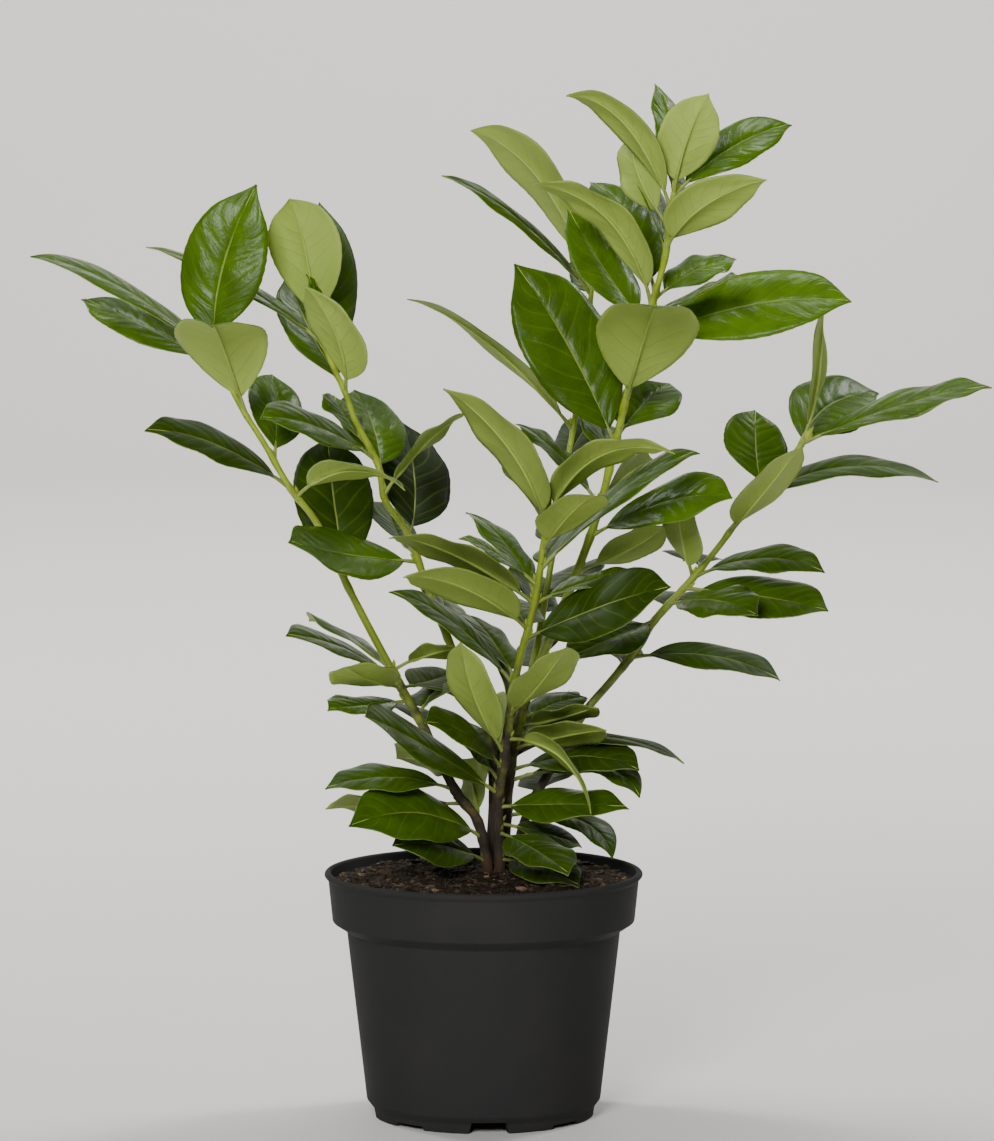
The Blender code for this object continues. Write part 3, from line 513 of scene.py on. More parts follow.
def cuticle_material(look):
    """Upper side: leaf tissue under a clear wax cuticle, so dark green with a sharp gloss."""
    made, shader, add = new_material("laurel_leaf_cuticle")
    blade = leaf_pattern(add, look.vein_pairs)
    # Clouds of darker, duller tissue, 14 mm wide, and the wax's grain, drawn 1.1 mm wide to show
    cloud = add("TexNoise", {"Vector": blade.place, "Scale": per_metre(14.3), "Detail": 4.0})
    grain = add("TexNoise", {"Vector": blade.place, "Scale": per_metre(1.11), "Detail": 2.0})
    rib_shows = add("MapRange", (blade.along, 0.92, 0.40, 0.05, 0.60), **EASED)
    # The leaf's shade lays young colour over old: its place on the plant, with painted light on
    # leaves nearer to the viewer and painted shade on those further back
    tissue = coats(
        add, rgba(look.old),
        (blade.shade, rgba(look.young)),
        (add("MapRange", (cloud, 0.35, 0.72, 0.0, 0.35), **EASED), rgba(look.old, 0.80)),
        (add("MapRange", (blade.phase, 0.0, 0.16, 0.12, 0.0), **EASED), rgba(look.young)),
        (add("Math", (blade.net, 0.06), **TIMES), rgba(look.young)),
        (add("Math", (blade.veins, 0.08), **TIMES), rgba(look.vein, 0.6)),
        (add("MapRange", (blade.side, 0.97, 0.99, 0.0, 0.15), **EASED), rgba(look.vein, 0.7)),
        (add("Math", (blade.midrib, rib_shows), **TIMES), rgba(look.vein, 0.75)))
    # Old wax is duller than young wax, and duller on some clouds than on others
    dull = add("Math", (add("MapRange", (cloud, 0.3, 0.7, 0.22, 0.34), **EASED),
                        add("MapRange", (blade.shade, 0.0, 0.7, 0.26, 0.0), **EASED)),
               operation="ADD")
    # The tissue swells between the lateral veins and puckers along them, each leaf in its own way
    swell = add("Math", (add("MapRange", (blade.phase, 0.0, 0.42), **EASED),
                         add("MapRange", (blade.side, 0.98, 0.7), **EASED)), **TIMES)
    lengthwise = add("CombineXYZ", (add("Math", (blade.side, 4.5), **TIMES),
                                    add("Math", (blade.along, 36.0), **TIMES),
                                    add("Math", (blade.shade, 90.0), **TIMES)))
    puckers = add("TexNoise", {"Vector": lengthwise, "Scale": 1.0, "Detail": 1.5})
    height = add("Math", (puckers, add("MapRange", (cloud, 0.40, 0.58, 0.25, 1.1), **EASED)),
                 **TIMES)
    height = add("Math", (swell, 0.5, height), **TIMES_PLUS)
    height = add("Math", (grain, 0.05, height), **TIMES_PLUS)
    height = add("Math", (blade.net, -0.05, height), **TIMES_PLUS)
    strength = add("MapRange", (blade.shade, 0.1, 0.8, 0.35, 0.6), **EASED)
    relief = add("Bump", {"Height": height, "Strength": strength, "Distance": 0.0006})
    set_inputs(shader, {"Base Color": tissue, "Roughness": dull, "Normal": relief,
                        "IOR": 1.42, "Specular IOR Level": 0.20})
    return made


def underside_material(look):
    """Underside: bare spongy tissue without wax, so pale, matt and with raised veins."""
    made, shader, add = new_material("laurel_leaf_underside")
    blade = leaf_pattern(add, look.vein_pairs)
    # Clouds of darker tissue, 18 mm wide, and its pores, drawn 0.9 mm wide so that they show
    cloud = add("TexNoise", {"Vector": blade.place, "Scale": per_metre(18.2), "Detail": 4.0})
    pores = add("TexNoise", {"Vector": blade.place, "Scale": per_metre(0.91), "Detail": 2.0})
    rib_shows = add("MapRange", (blade.along, 0.5, 0.1, 0.3, 0.8), **EASED)
    # The leaf's shade darkens the underside: its place on the plant, with painted shade on leaves
    # further back and painted light on nearer ones
    tissue = coats(
        add, rgba(look.under, 0.48),
        (blade.shade, rgba(look.under)),
        (add("MapRange", (cloud, 0.35, 0.75, 0.0, 0.25), **EASED), rgba(look.under, 0.70)),
        (add("Math", (blade.net, 0.12), **TIMES), rgba(look.under, 0.62)),
        (add("Math", (blade.veins, 0.28), **TIMES), rgba(look.under, 0.62)),
        (add("Math", (blade.midrib, rib_shows), **TIMES), rgba(look.vein, 0.9)))
    height = add("Math", (pores, 0.12), **TIMES)
    height = add("Math", (blade.veins, 0.6, height), **TIMES_PLUS)
    height = add("Math", (blade.net, 0.12, height), **TIMES_PLUS)
    relief = add("Bump", {"Height": height, "Strength": 0.5, "Distance": 0.0004})
    set_inputs(shader, {"Base Color": tissue, "Roughness": 0.60, "Normal": relief,
                        "IOR": 1.40, "Specular IOR Level": 0.35})
    return made


def stalk_material(look):
    """Midribs and leaf stalks: smooth skin, yellow-green at the stem and pale under the blade."""
    made, shader, add = new_material("laurel_leaf_stalk")
    _, along, _ = add("SeparateXYZ", [add("UVMap", uv_map="blade")]).node.outputs
    # Mottling about 4 mm wide
    mottling = add("TexNoise", {"Vector": add("TexCoord", output="Object"),
                                "Scale": per_metre(4.17), "Detail": 3.0})
    young = coats(add, rgba(look.vein, 0.78),
                  (add("MapRange", (mottling, 0.35, 0.7), **EASED), rgba(look.vein, 0.58)))
    # The leaf's shade darkens its stalk as it darkens the blade, painted shade on leaves further
    # back and painted light on nearer ones included
    skin = coats(add, rgba(look.vein, 0.22), (add("Attribute", **SHADE), young),
                 (add("MapRange", (along, 0.10, 0.40), **EASED), rgba(look.under, 0.92)))
    relief = add("Bump", {"Height": mottling, "Strength": 0.2, "Distance": 0.0004})
    set_inputs(shader, {"Base Color": skin, "Roughness": 0.48, "Normal": relief, "IOR": 1.42})
    return made


def margin_material(look):
    """The cut edge of a blade: a thin pale rim that catches the light."""
    made, shader, add = new_material("laurel_leaf_margin")
    # Paler and greener stretches, each about 5 mm long
    stretches = add("TexNoise", {"Vector": add("TexCoord", output="Object"),
                                 "Scale": per_metre(5.0)})
    rim = coats(add, rgba(look.vein, 0.40),
                (add("MapRange", (stretches, 0.4, 0.65), **EASED), rgba(look.young, 0.9)))
    set_inputs(shader, {"Base Color": rim, "Roughness": 0.40})
    return made


def stem_material(look):
    """Young cherry laurel wood: brown corky bark at the foot, smooth green skin further up."""
    made, shader, add = new_material("laurel_stem_skin")
    place = add("TexCoord", output="Object")
    age = add("Attribute", **SHADE)
    # Cracks that run up the stem, blotches 11 mm wide, and pale pores 3.9 mm apart
    lengthwise = add("Mapping", {"Vector": add("UVMap", uv_map="blade"),
                                 "Scale": (16.0, 42.0, 1.0)})
    cracks = add("TexNoise", {"Vector": lengthwise, "Scale": 1.0, "Detail": 5.0,
                              "Roughness": 0.65})
    blotches = add("TexNoise", {"Vector": place, "Scale": per_metre(11.1), "Detail": 4.0})
    spots = add("TexVoronoi", {"Vector": place, "Scale": per_metre(3.85)})
    pores = add("MapRange", (spots, 0.20, 0.10, 0.0, 0.55), **EASED)
    ragged = add("Math", (add("Math", (blotches, 0.5), **MINUS), 0.35, age), **TIMES_PLUS)
    green = coats(
        add, rgba(look.green, 0.55),
        (add("MapRange", (age, 0.45, 0.80), **EASED), rgba(look.green)),
        (add("MapRange", (blotches, 0.4, 0.7), **EASED), rgba(look.green, 0.50)))
    bark = coats(
        add, rgba(look.bark, 0.50),
        (add("MapRange", (cracks, 0.38, 0.62), **EASED), rgba(look.bark, 1.30)),
        (add("MapRange", (blotches, 0.50, 0.66, 0.0, 0.5), **EASED), rgba(look.rust)))
    skin = coats(add, bark, (add("MapRange", (ragged, 0.30, 0.48), **EASED), green),
                 (pores, rgba(look.bark, 1.5)))
    height = add("Math", (pores, 0.8, cracks), **TIMES_PLUS)
    relief = add("Bump", {"Height": height, "Strength": 0.5, "Distance": 0.0006})
    rough = add("MapRange", (ragged, 0.30, 0.48, 0.85, 0.42), **EASED)
    set_inputs(shader, {"Base Color": skin, "Roughness": rough, "Normal": relief})
    return made


def peat_material(look):
    """Potting mix: damp black-brown peat with wood fibre, rough and almost without shine."""
    made, shader, add = new_material("potting_mix_peat")
    place = add("TexCoord", output="Object")
    # Lumps about 4 mm wide with flecks of wood 2 mm apart, and painted shade further down the pot
    lumps = add("TexNoise", {"Vector": place, "Scale": per_metre(3.85), "Detail": 6.0,
                             "Roughness": 0.7})
    grit = add("TexVoronoi", {"Vector": place, "Scale": per_metre(1.92)})
    flecks = add("MapRange", (grit, 0.24, 0.12, 0.0, 0.5), **EASED)
    bare = add("MapRange", (lumps, 0.5, 0.62), **EASED)
    _, _, up = add("SeparateXYZ", [place]).node.outputs
    top = coats(
        add, rgba(look.peat, 0.55),
        (add("MapRange", (lumps, 0.40, 0.72), **EASED), rgba(look.peat, 1.9)),
        (add("Math", (flecks, bare), **TIMES), rgba(look.bark_bits, 0.8)))
    # Painted shade: the mix darkens further down the pot, where it shows through the drain holes
    peat = coats(add, rgba(look.peat, 0.12), (add("MapRange", (up, 0.02, 0.12), **EASED), top))
    height = add("Math", (flecks, 0.5, lumps), **TIMES_PLUS)
    relief = add("Bump", {"Height": height, "Strength": 0.9, "Distance": 0.0016})
    set_inputs(shader, {"Base Color": peat, "Roughness": 0.92, "Normal": relief,
                        "Specular IOR Level": 0.25})
    return made


def bits_material(look):
    """Loose bits: from damp peat crumbs to dry tan bark and straw, one tone to each bit."""
    made, shader, add = new_material("bark_and_fibre_bits")
    dry = add("Attribute", **SHADE)
    # Grain of the bark, 1.1 mm wide
    grain = add("TexNoise", {"Vector": add("TexCoord", output="Object"),
                             "Scale": per_metre(1.11), "Detail": 4.0})
    colour = coats(
        add, rgba(look.peat, 0.9),
        (dry, rgba(look.bark_bits)),
        (add("MapRange", (dry, 0.80, 1.0), **EASED), rgba(look.bark_bits, 2.2)),
        (add("MapRange", (grain, 0.45, 0.7, 0.0, 0.55), **EASED), rgba(look.peat, 0.7)))
    relief = add("Bump", {"Height": grain, "Strength": 0.7, "Distance": 0.0005})
    set_inputs(shader, {"Base Color": colour, "Roughness": 0.85, "Normal": relief,
                        "Specular IOR Level": 0.3})
    return made


def pot_material(look):
    """Black injection-moulded polypropylene: satin, a little dusty, with faint handling scuffs."""
    made, shader, add = new_material("moulded_black_polypropylene")
    place = add("TexCoord", output="Object")
    # Patches of dust 71 mm wide, the mould's fine grain, drawn 0.7 mm wide so that it shows, and
    # slanting scuffs 111 mm long and 2.4 mm wide
    dusty = add("TexNoise", {"Vector": place, "Scale": per_metre(71.4), "Detail": 5.0})
    grain = add("TexNoise", {"Vector": place, "Scale": per_metre(0.714), "Detail": 2.0})
    long, wide = per_metre(111), per_metre(2.38)
    slanting = add("Mapping", {"Vector": place, "Rotation": (0.3, 0.9, 0.2),
                               "Scale": (long, long, wide)})
    scuffs = add("TexNoise", {"Vector": slanting, "Scale": 1.0, "Detail": 3.0})
    rubbed = add("MapRange", (scuffs, 0.68, 0.76, 0.0, 0.10), **EASED)
    plastic = coats(
        add, rgba(look.colour),
        (add("MapRange", (dusty, 0.45, 0.75, 0.0, 0.06), **EASED), rgba(linear("58524a"))),
        (rubbed, rgba(linear("3c3c3c"))))
    relief = add("Bump", {"Height": add("Math", (grain, rubbed), **MINUS), "Strength": 0.16,
                          "Distance": 0.0003})
    rough = add("MapRange", (dusty, 0.3, 0.7, 0.56, 0.68), **EASED)
    set_inputs(shader, {"Base Color": plastic, "Roughness": rough, "Normal": relief,
                        "IOR": 1.49, "Specular IOR Level": 0.03})
    return made


def backdrop_material(look):
    """Uncoated studio paper: even and matt, so floor and wall only give soft light back."""
    made, shader, _ = new_material("pale_backdrop_paper")
    set_inputs(shader, {"Base Color": rgba(look.floor), "Roughness": 0.7})
    return made


def new_shape():
    """A bmesh with a blade pattern map and a shade number at each point."""
    shape = bmesh.new()
    shape.loops.layers.uv.new("blade")
    shape.verts.layers.float.new("shade")
    return shape


class Piece:
    """Small shapes gathered in one mesh, which becomes one object."""

    def __init__(self):
        self.shape = new_shape()

    def join(self, part):
        """Add a small shape to the piece; the small one is used up."""
        mesh = bpy.data.meshes.new("part")
        part.to_mesh(mesh)
        part.free()
        self.shape.from_mesh(mesh)
        bpy.data.meshes.remove(mesh)

    def sheet(self, columns, rows, place, shade, weld=0.0):
        """Add a grid and move each point to place(u, v), which also gives its pattern place."""
        part = new_shape()
        pattern_map = part.loops.layers.uv["blade"]
        shades = part.verts.layers.float["shade"]
        bmesh.ops.create_grid(part, x_segments=columns, y_segments=rows, size=0.5)
        patterns = {}
        for vert in part.verts:
            vert.co, patterns[vert] = place(vert.co.x + 0.5, vert.co.y + 0.5)
            vert[shades] = shade(patterns[vert][1]) if callable(shade) else shade
        for face in part.faces:
            face.smooth = True
            for loop in face.loops:
                loop[pattern_map].uv = patterns[loop.vert]
        if weld:
            bmesh.ops.remove_doubles(part, verts=part.verts, dist=weld)
        self.join(part)

    def tube(self, points, radii, sides, shade):
        """Add a closed round tube through the points; it narrows to nothing at both ends."""
        rings = ring_frames(points)
        last = len(points) - 1

        def place(u, v):
            row = round(v * last)
            centre, first, second = rings[row]
            turn = math.tau * u
            out = first * math.cos(turn) + second * math.sin(turn)
            return centre + out * radii[row], (u, v)

        self.sheet(sides, last, place, shade, 0.000002)

    def finish(self, name, materials=()):
        """Make the object and link it to the scene; the shape is used up."""
        mesh = bpy.data.meshes.new(name)
        self.shape.to_mesh(mesh)
        self.shape.free()
        for material in materials:
            mesh.materials.append(material)
        obj = bpy.data.objects.new(name, mesh)
        bpy.context.scene.collection.objects.link(obj)
        return obj


def ring_frames(points):
    """Each point with two directions across the path, turned as little as possible along it."""
    ahead = [(b - a).normalized() for a, b in zip(points, points[1:])]
    ahead.append(ahead[-1])
    across = ahead[0].orthogonal().normalized()
    frames = []
    for point, direction in zip(points, ahead):
        across = (across - direction * across.dot(direction)).normalized()
        frames.append((point, across, direction.cross(across)))
    return frames


def through(points, steps):
    """Points of a smooth curve through the given ones (Catmull-Rom), with steps to each span."""
    padded = [points[0] * 2 - points[1], *points, points[-1] * 2 - points[-2]]
    smoothed = []
    for a, b, c, d in zip(padded, padded[1:], padded[2:], padded[3:]):
        for step in range(steps):
            t = step / steps
            smoothed.append(0.5 * (2 * b + (c - a) * t + (2 * a - 5 * b + 4 * c - d) * t ** 2
                                   + (3 * b - a - 3 * c + d) * t ** 3))
    return smoothed + [points[-1]]


def stem_line(pixels, steps):
    """The stem's centre line above the soil, from the pixels and depths it is seen at."""
    return through([seen(*pixel) for pixel in pixels], steps)


def root_on(stem_points, pixel):
    """The point of the stem's centre line that the photograph shows nearest to the pixel."""
    ray = (seen(*pixel, 0) - EYE).normalized()

    def distance(point):
        away = point - EYE
        return (away - ray * away.dot(ray)).length

    return min(stem_points, key=distance)


def outline(along):
    """The blade's half width at a share of its length, as a share of its greatest half width."""
    power = END_POWER - MIDDLE_POWER * along * (1 - along)
    return max(math.sin(math.pi * along ** LEAN), 0.0) ** power


Form = namedtuple("Form", "root control end upper width fold tone")


def leaf_form(spec, root):
    """The midrib's three control points, and the blade's upper side, real width, fold and tone of
    painted light or shade.
    """
    depth = root.y / MM + spec.reach
    end = seen(*spec.tip, depth)
    middle = (root + end) / 2
    if spec.mid:
        behind = spec.mid[2] if len(spec.mid) == 3 else 0.0
        middle = seen(*spec.mid[:2], middle.y / MM + behind)
    chord = (end - root).normalized()
    to_eye = (EYE - middle).normalized()
    facing = (to_eye - chord * to_eye.dot(chord)).normalized()
    across = chord.cross(facing)
    width = spec.width * MM
    near = (middle - EYE).length / EYE_TO_PICTURE
    share = min(spec.seen * near / width, 1.0)
    turn = math.acos(share if spec.face == "top" else -share)
    sides = [facing * math.cos(turn) + across * math.sin(turn) * sign for sign in (1, -1)]
    upper = max(sides, key=lambda side: side.z)
    rise = 0.0 if spec.mid else ARCH * (end - root).length
    control = middle * 2 - (root + end) / 2 + upper * rise
    return Form(root, control, end, upper, width, spec.fold, spec.tone)


Habit = namedtuple("Habit", "twist wave waves phase shade curl")


def leaf_habit(draw, form):
    """What differs from leaf to leaf: twist, margin waves, shade and how far the tip curls down.

    The leaves of the top are the lightest; painted light falls on the side nearer to the viewer and
    painted shade on the leaves further back, and each leaf's tone adds painted light or shade of
    its own.
    """
    middle = (form.root + form.end) / 2
    height = (middle.z - SOIL_HIGH.z) / (CAD_BOUNDS[1][2] - SOIL_HIGH.z)
    # Painted light on leaves nearer to the viewer, painted shade on those further back, and the
    # leaf's own tone of painted light or shade
    shade = SHADE_AT_MIX + SHADE_OF_HEIGHT * height - PAINTED_LIGHT_OF_NEARNESS * middle.y + form.tone
    shade += draw.uniform(-SHADE_SPREAD, SHADE_SPREAD)
    return Habit(twist=math.radians(draw.uniform(-7.0, 7.0)), wave=draw.uniform(0.25, 1.0),
                 waves=draw.uniform(1.6, 3.2), phase=draw.random(),
                 shade=min(max(shade, 0.0), 1.0), curl=draw.uniform(0.0003, 0.0024))


def rib_axes(form, along):
    """The midrib's place at a share of its length, with its directions up and across."""
    ahead = (form.control - form.root) * (1 - along) + (form.end - form.control) * along
    ahead.normalize()
    normal = (form.upper - ahead * form.upper.dot(ahead)).normalized()
    place = form.root * (1 - along) ** 2 + form.control * (2 * along * (1 - along))
    return place + form.end * along ** 2, normal, ahead.cross(normal)


def petiole_share(form):
    """The leaf stalk's share of the whole leaf's length."""
    return min(PETIOLE / (form.end - form.root).length, PETIOLE_SHARE)


def add_blade(piece, form, habit, look):
    """Add one blade: it follows the solid's form, with grooved veins and a toothed wavy margin."""
    petiole = petiole_share(form)
    pairs = look.vein_pairs
    rows = pairs * ROWS_PER_VEIN
    seed = Vector((habit.phase * 40, habit.waves * 10, 0.0))

    def place(u, v):
        # Columns stand closer at the midrib, and rows run forward on their way to the margin
        sign = -1.0 if u < 0.5 else 1.0
        reach = abs(2 * u - 1) ** 1.35
        share = min(v + ROW_SLANT * v * (1 - v) * (reach + 0.35 * reach ** 2), 1.0)
        rib, normal, across = rib_axes(form, petiole + (TIP_SHARE - petiole) * share)
        turn = habit.twist * share
        normal, across = (normal * math.cos(turn) - across * math.sin(turn),
                          across * math.cos(turn) + normal * math.sin(turn))
        tip = 1 - POINT_TAPER * max((share - POINT_START) / (1 - POINT_START), 0.0) ** 1.5
        half = max(form.width / 2 * outline(share) * tip,
                   PETIOLE_WIDTH / 2 * (1 - MIDRIB_TAPER * share))
        # Every third row ends in a small tooth
        tooth = TOOTH * (round(v * rows) % 3) / 2 * reach ** 6 * outline(share)
        spread = (half + tooth) * reach
        lift = spread * (form.fold - FLATTEN * spread / (form.width / 2))
        middle = math.sin(math.pi * share)
        # Lateral veins leave the midrib by turns left and right, and not quite evenly
        vein = share - VEIN_SLANT * reach * (0.75 + 0.25 * reach)
        vein += (0.25 * sign + 0.22 * math.sin(math.tau * (2.3 * share + habit.phase))) / pairs
        swell = abs(math.sin(math.pi * vein * pairs)) ** 0.8
        # Swells between the veins, slow unevenness, midrib groove, margin waves and a curled tip
        lift += look.quilt * swell * min(reach * 5, 1.0) * (1 - reach ** 4) * middle
        lift += look.unevenness * noise.noise(seed + Vector((share * 5, sign * reach * 2, 0.0)))
        lift -= look.groove * math.exp(-(spread / GROOVE_HALF_WIDTH) ** 2) * middle
        beat = math.tau * (v * habit.waves + habit.phase) + sign * 0.9
        lift += look.wave * habit.wave * reach ** 3 * math.sin(beat) * middle
        lift -= habit.curl * max((share - CURL_START) / (1 - CURL_START), 0.0) ** 2
        point = rib + across * (spread * sign) + normal * lift
        return point, (0.5 + 0.5 * sign * reach, vein)

    piece.sheet(LEAF_COLUMNS, rows, place, habit.shade)


def add_stalk(piece, form, habit, look):
    """Add the leaf stalk and the midrib that stands out under the blade, as one tapering rod."""
    petiole = petiole_share(form)
    points = []
    radii = []
    steps = 22
    for step in range(steps + 1):
        along = RIB_END * step / steps
        share = max((along - petiole) / (1 - petiole), 0.0)
        rib, normal, _ = rib_axes(form, along)
        radius = RIB_BASE_RADIUS * (1 - share) + RIB_TIP_RADIUS
        sink = look.groove * math.sin(math.pi * share) + radius * 0.92 * min(share * 12, 1.0)
        points.append(rib - normal * sink)
        radii.append(radius)
    radii[0] *= 1.5
    radii[1] *= 1.2
    points.append(points[-1] + (points[-1] - points[-2]) * 0.02)
    radii.append(0.0)
    piece.tube(points, radii, 8, habit.shade)


def leaf_forms(pixels, leaves):
    """The form of every leaf of one stem."""
    line = stem_line(pixels, 8)
    return [leaf_form(spec, root_on(line, spec.base)) for spec in leaves]


def settle(obj, node):
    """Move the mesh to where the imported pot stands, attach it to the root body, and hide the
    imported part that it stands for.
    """
    obj.data.transform(Matrix.Translation(POT_PLACE))
    obj.data.update()
    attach(obj, "root")
    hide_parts(node)


def stem_shape(pixels, foot_radius, tip_radius, rooted, roots):
    """The stem's centre line and radii, with a swollen joint where each leaf grows from it."""
    points = stem_line(pixels, 10)
    if rooted:
        first = points[0]
        points = [Vector((first.x, first.y, STEM_FOOT_Z)), Vector((first.x, first.y, STEM_BEND_Z)),
                  *points]
    lengths = [0.0]
    for a, b in zip(points, points[1:]):
        lengths.append(lengths[-1] + (b - a).length)
    radii = []
    for point, length in zip(points, lengths):
        radius = (foot_radius + (tip_radius - foot_radius) * length / lengths[-1]) * MM
        near = min((point - root).length for root in roots)
        joint = JOINT_SWELL * math.exp(-(near / JOINT_REACH) ** 2)
        lump = 0.05 * noise.noise(point * 160)
        radii.append(radius * (1 + joint + lump))
    if rooted:
        radii[0] = 0.0
    points.append(points[-1] + (points[-1] - points[-2]) * 0.3)
    radii.append(0.0)
    return points, radii


def add_bud(piece, base, direction, length, radius, shade, bend):
    """Add a pointed bud: a narrow drop that swells above its foot and leans with the leaf."""
    steps = 7
    points = []
    radii = []
    for step in range(steps + 1):
        share = step / steps
        points.append(base + direction * (length * share) + bend * (length * share ** 2))
        radii.append(radius * math.sin(math.pi * min(share * 0.92 + 0.14, 1.0)) ** 0.8)
    radii[0] = 0.0
    radii[-1] = 0.0
    piece.tube(points, radii, 8, shade)


def add_stem_buds(piece, points, forms):
    """Add the small bud in the angle between each leaf stalk and the stem, and the end bud."""
    for form in forms:
        index = min(range(len(points) - 1), key=lambda at: (points[at] - form.root).length)
        upward = (points[index + 1] - points[index]).normalized()
        outward = (form.control - form.root).normalized()
        base = form.root + outward * 0.0020 + upward * 0.0012
        direction = (upward + outward * 0.75).normalized()
        age = (base.z - SOIL_LOW.z) / (CAD_BOUNDS[1][2] - SOIL_LOW.z) + 0.1
        add_bud(piece, base, direction, length=0.0046, radius=0.0011, shade=age,
                bend=upward * 0.25)
    tip, before = points[-2], points[-4]
    upward = (tip - before).normalized()
    add_bud(piece, tip - upward * 0.001, upward, length=0.0110, radius=0.0019, shade=1.0,
            bend=Vector((0.0, 0.0, 0.08)))


class OBJECT_OT_laurel_leaves(bpy.types.Operator):
    """Add every shoot's leaves, with veins, stalks and margins"""
    bl_idname = "object.laurel_leaves"
    bl_label = "Leaves"

    def execute(self, context):
        look = context.scene.laurel_leaf
        materials = [cuticle_material(look), underside_material(look), margin_material(look)]
        stalk = stalk_material(look)
        draw = random.Random(7)
        for node, slot, stems in SHOOTS:
            blades = Piece()
            stalks = Piece()
            for pixels, _, _, leaves in stems:
                for form in leaf_forms(pixels, leaves):
                    habit = leaf_habit(draw, form)
                    add_blade(blades, form, habit, look)
                    add_stalk(stalks, form, habit, look)
            blades = blades.finish(f"{node}_leaves", materials)
            settle(blades, node)
            solid = blades.modifiers.new("thickness", "SOLIDIFY")
            solid.thickness = look.thickness
            solid.offset = 0.0
            solid.material_offset = 1
            solid.material_offset_rim = 2
            settle(stalks.finish(f"{node}_leaf_stalks", [stalk]), node)
        return {"FINISHED"}


class OBJECT_OT_laurel_stems(bpy.types.Operator):
    """Add the stems with their joints, bark and buds"""
    bl_idname = "object.laurel_stems"
    bl_label = "Stems"

    def execute(self, context):
        look = context.scene.laurel_stem
        skin = stem_material(look)
        top = CAD_BOUNDS[1][2]
        for node, slot, stems in SHOOTS:
            piece = Piece()
            for number, (pixels, foot, tip, leaves) in enumerate(stems):
                forms = leaf_forms(pixels, leaves)
                roots = [form.root for form in forms]
                points, radii = stem_shape(pixels, foot, tip, number == 0, roots)
                last = len(points) - 1
                heights = [(point.z - SOIL_LOW.z) / (top - SOIL_LOW.z) for point in points]

                def age(share, heights=heights, last=last):
                    return heights[round(share * last)]

                piece.tube(points, radii, look.sides, age)
                add_stem_buds(piece, points, forms)
            settle(piece.finish(f"{node}_stem", [skin]), node)
        return {"FINISHED"}


# Pot, as in the part's source
BAND_TOP_WIDTH = 0.1855
BAND_FOOT_WIDTH = 0.1805
WALL_TOP_WIDTH = 0.1635
WALL_FOOT_WIDTH = 0.1400
FOOT_WIDTH = 0.1335
WALL = 0.0017
LIP_HEIGHT = 0.0038
BAND_FOOT_Z = 0.1174
WALL_TOP_Z = 0.1118
WALL_FOOT_Z = 0.010
FOOT_TOP_Z = 0.0058
FLOOR_Z = 0.0055
FLOOR_THICKNESS = 0.002
LIP_EDGE = 0.0012
FOOT_RING_WIDTH = 0.0075
NOTCH_TURN = math.radians(3.0)
NOTCH_HALF_ANGLE = math.radians(9.0)
NOTCH_HEIGHT = 0.0070
NOTCH_SPLAY = 1.25
ARCH_HEIGHT = 0.0026
HOLE_HALF_WIDTH = 0.0060
HOLE_TOP_Z = 0.0100
HOLE_IN = 0.024
HOLE_OUT = 0.0115
BELOW_FLOOR = 0.004
# Rounding of the pot's corners, and the least angle between faces that shows as a sharp edge
CORNER = 0.0007
SHARP_ANGLE = math.radians(38.0)
GAP = 0.0003
SOIL_EDGE_Z = 0.1405
SOIL_MOUND = 0.0065
SOIL_LUMP = 0.0016
SOIL_EDGE_SHARE = 0.75
# The mix's lumps: each a share of SOIL_LUMP and two crossing waves, a wave being its radians per
# metre along x and y, and its shift
SOIL_WAVES = [
    (1.0, (173, 61, 0.0), (-47, 149, 1.3)),
    (0.6, (331, -120, 0.7), (90, 287, 0.0)),
]


def pot_profile():
    """Inside up from the middle of the floor, over the lip, and down the outside to the foot."""
    rim = (POT_HIGH.x - POT_LOW.x) / 2
    height = POT_HIGH.z
    inside_foot = WALL_FOOT_WIDTH / 2 - WALL
    mouth = BAND_TOP_WIDTH / 2 - WALL
    foot = FOOT_WIDTH / 2
    floor_top = FLOOR_Z + FLOOR_THICKNESS
    return [
        (0.0, floor_top),
        (inside_foot - 2 * FLOOR_THICKNESS, floor_top),
        (inside_foot, WALL_FOOT_Z + FLOOR_THICKNESS),
        (WALL_TOP_WIDTH / 2 - WALL, WALL_TOP_Z + WALL / 2),
        (BAND_FOOT_WIDTH / 2 - WALL, BAND_FOOT_Z + WALL),
        (mouth, height - WALL / 2),
        (mouth + WALL / 2, height),
        (rim - LIP_EDGE, height),
        (rim, height - LIP_EDGE),
        (rim, height - LIP_HEIGHT + LIP_EDGE),
        (BAND_TOP_WIDTH / 2, height - LIP_HEIGHT - LIP_EDGE),
        (BAND_FOOT_WIDTH / 2, BAND_FOOT_Z),
        (WALL_TOP_WIDTH / 2, WALL_TOP_Z),
        (WALL_FOOT_WIDTH / 2, WALL_FOOT_Z),
        (foot, FOOT_TOP_Z),
        (foot - WALL / 2, 0.0),
        (foot - FOOT_RING_WIDTH, 0.0),
        (foot - FOOT_RING_WIDTH - FLOOR_THICKNESS, FLOOR_Z),
        (0.0, FLOOR_Z),
    ]


def lathe(shape, profile, steps, rounding):
    """Turn the profile, whose corners are rounded first, once round the vertical axis."""
    verts = [shape.verts.new((radius, 0.0, height)) for radius, height in profile]
    for a, b in zip(verts, verts[1:]):
        shape.edges.new((a, b))
    if rounding:
        bmesh.ops.bevel(shape, geom=verts[1:-1], offset=rounding, offset_type="OFFSET",
                        segments=3, profile=0.5, affect="VERTICES", clamp_overlap=True,
                        material=-1)
    bmesh.ops.spin(shape, geom=shape.verts[:] + shape.edges[:], cent=(0.0, 0.0, 0.0),
                   axis=(0.0, 0.0, 1.0), angle=math.tau, steps=steps, use_merge=True)
    bmesh.ops.remove_doubles(shape, verts=shape.verts, dist=0.000001)
    bmesh.ops.recalc_face_normals(shape, faces=shape.faces)


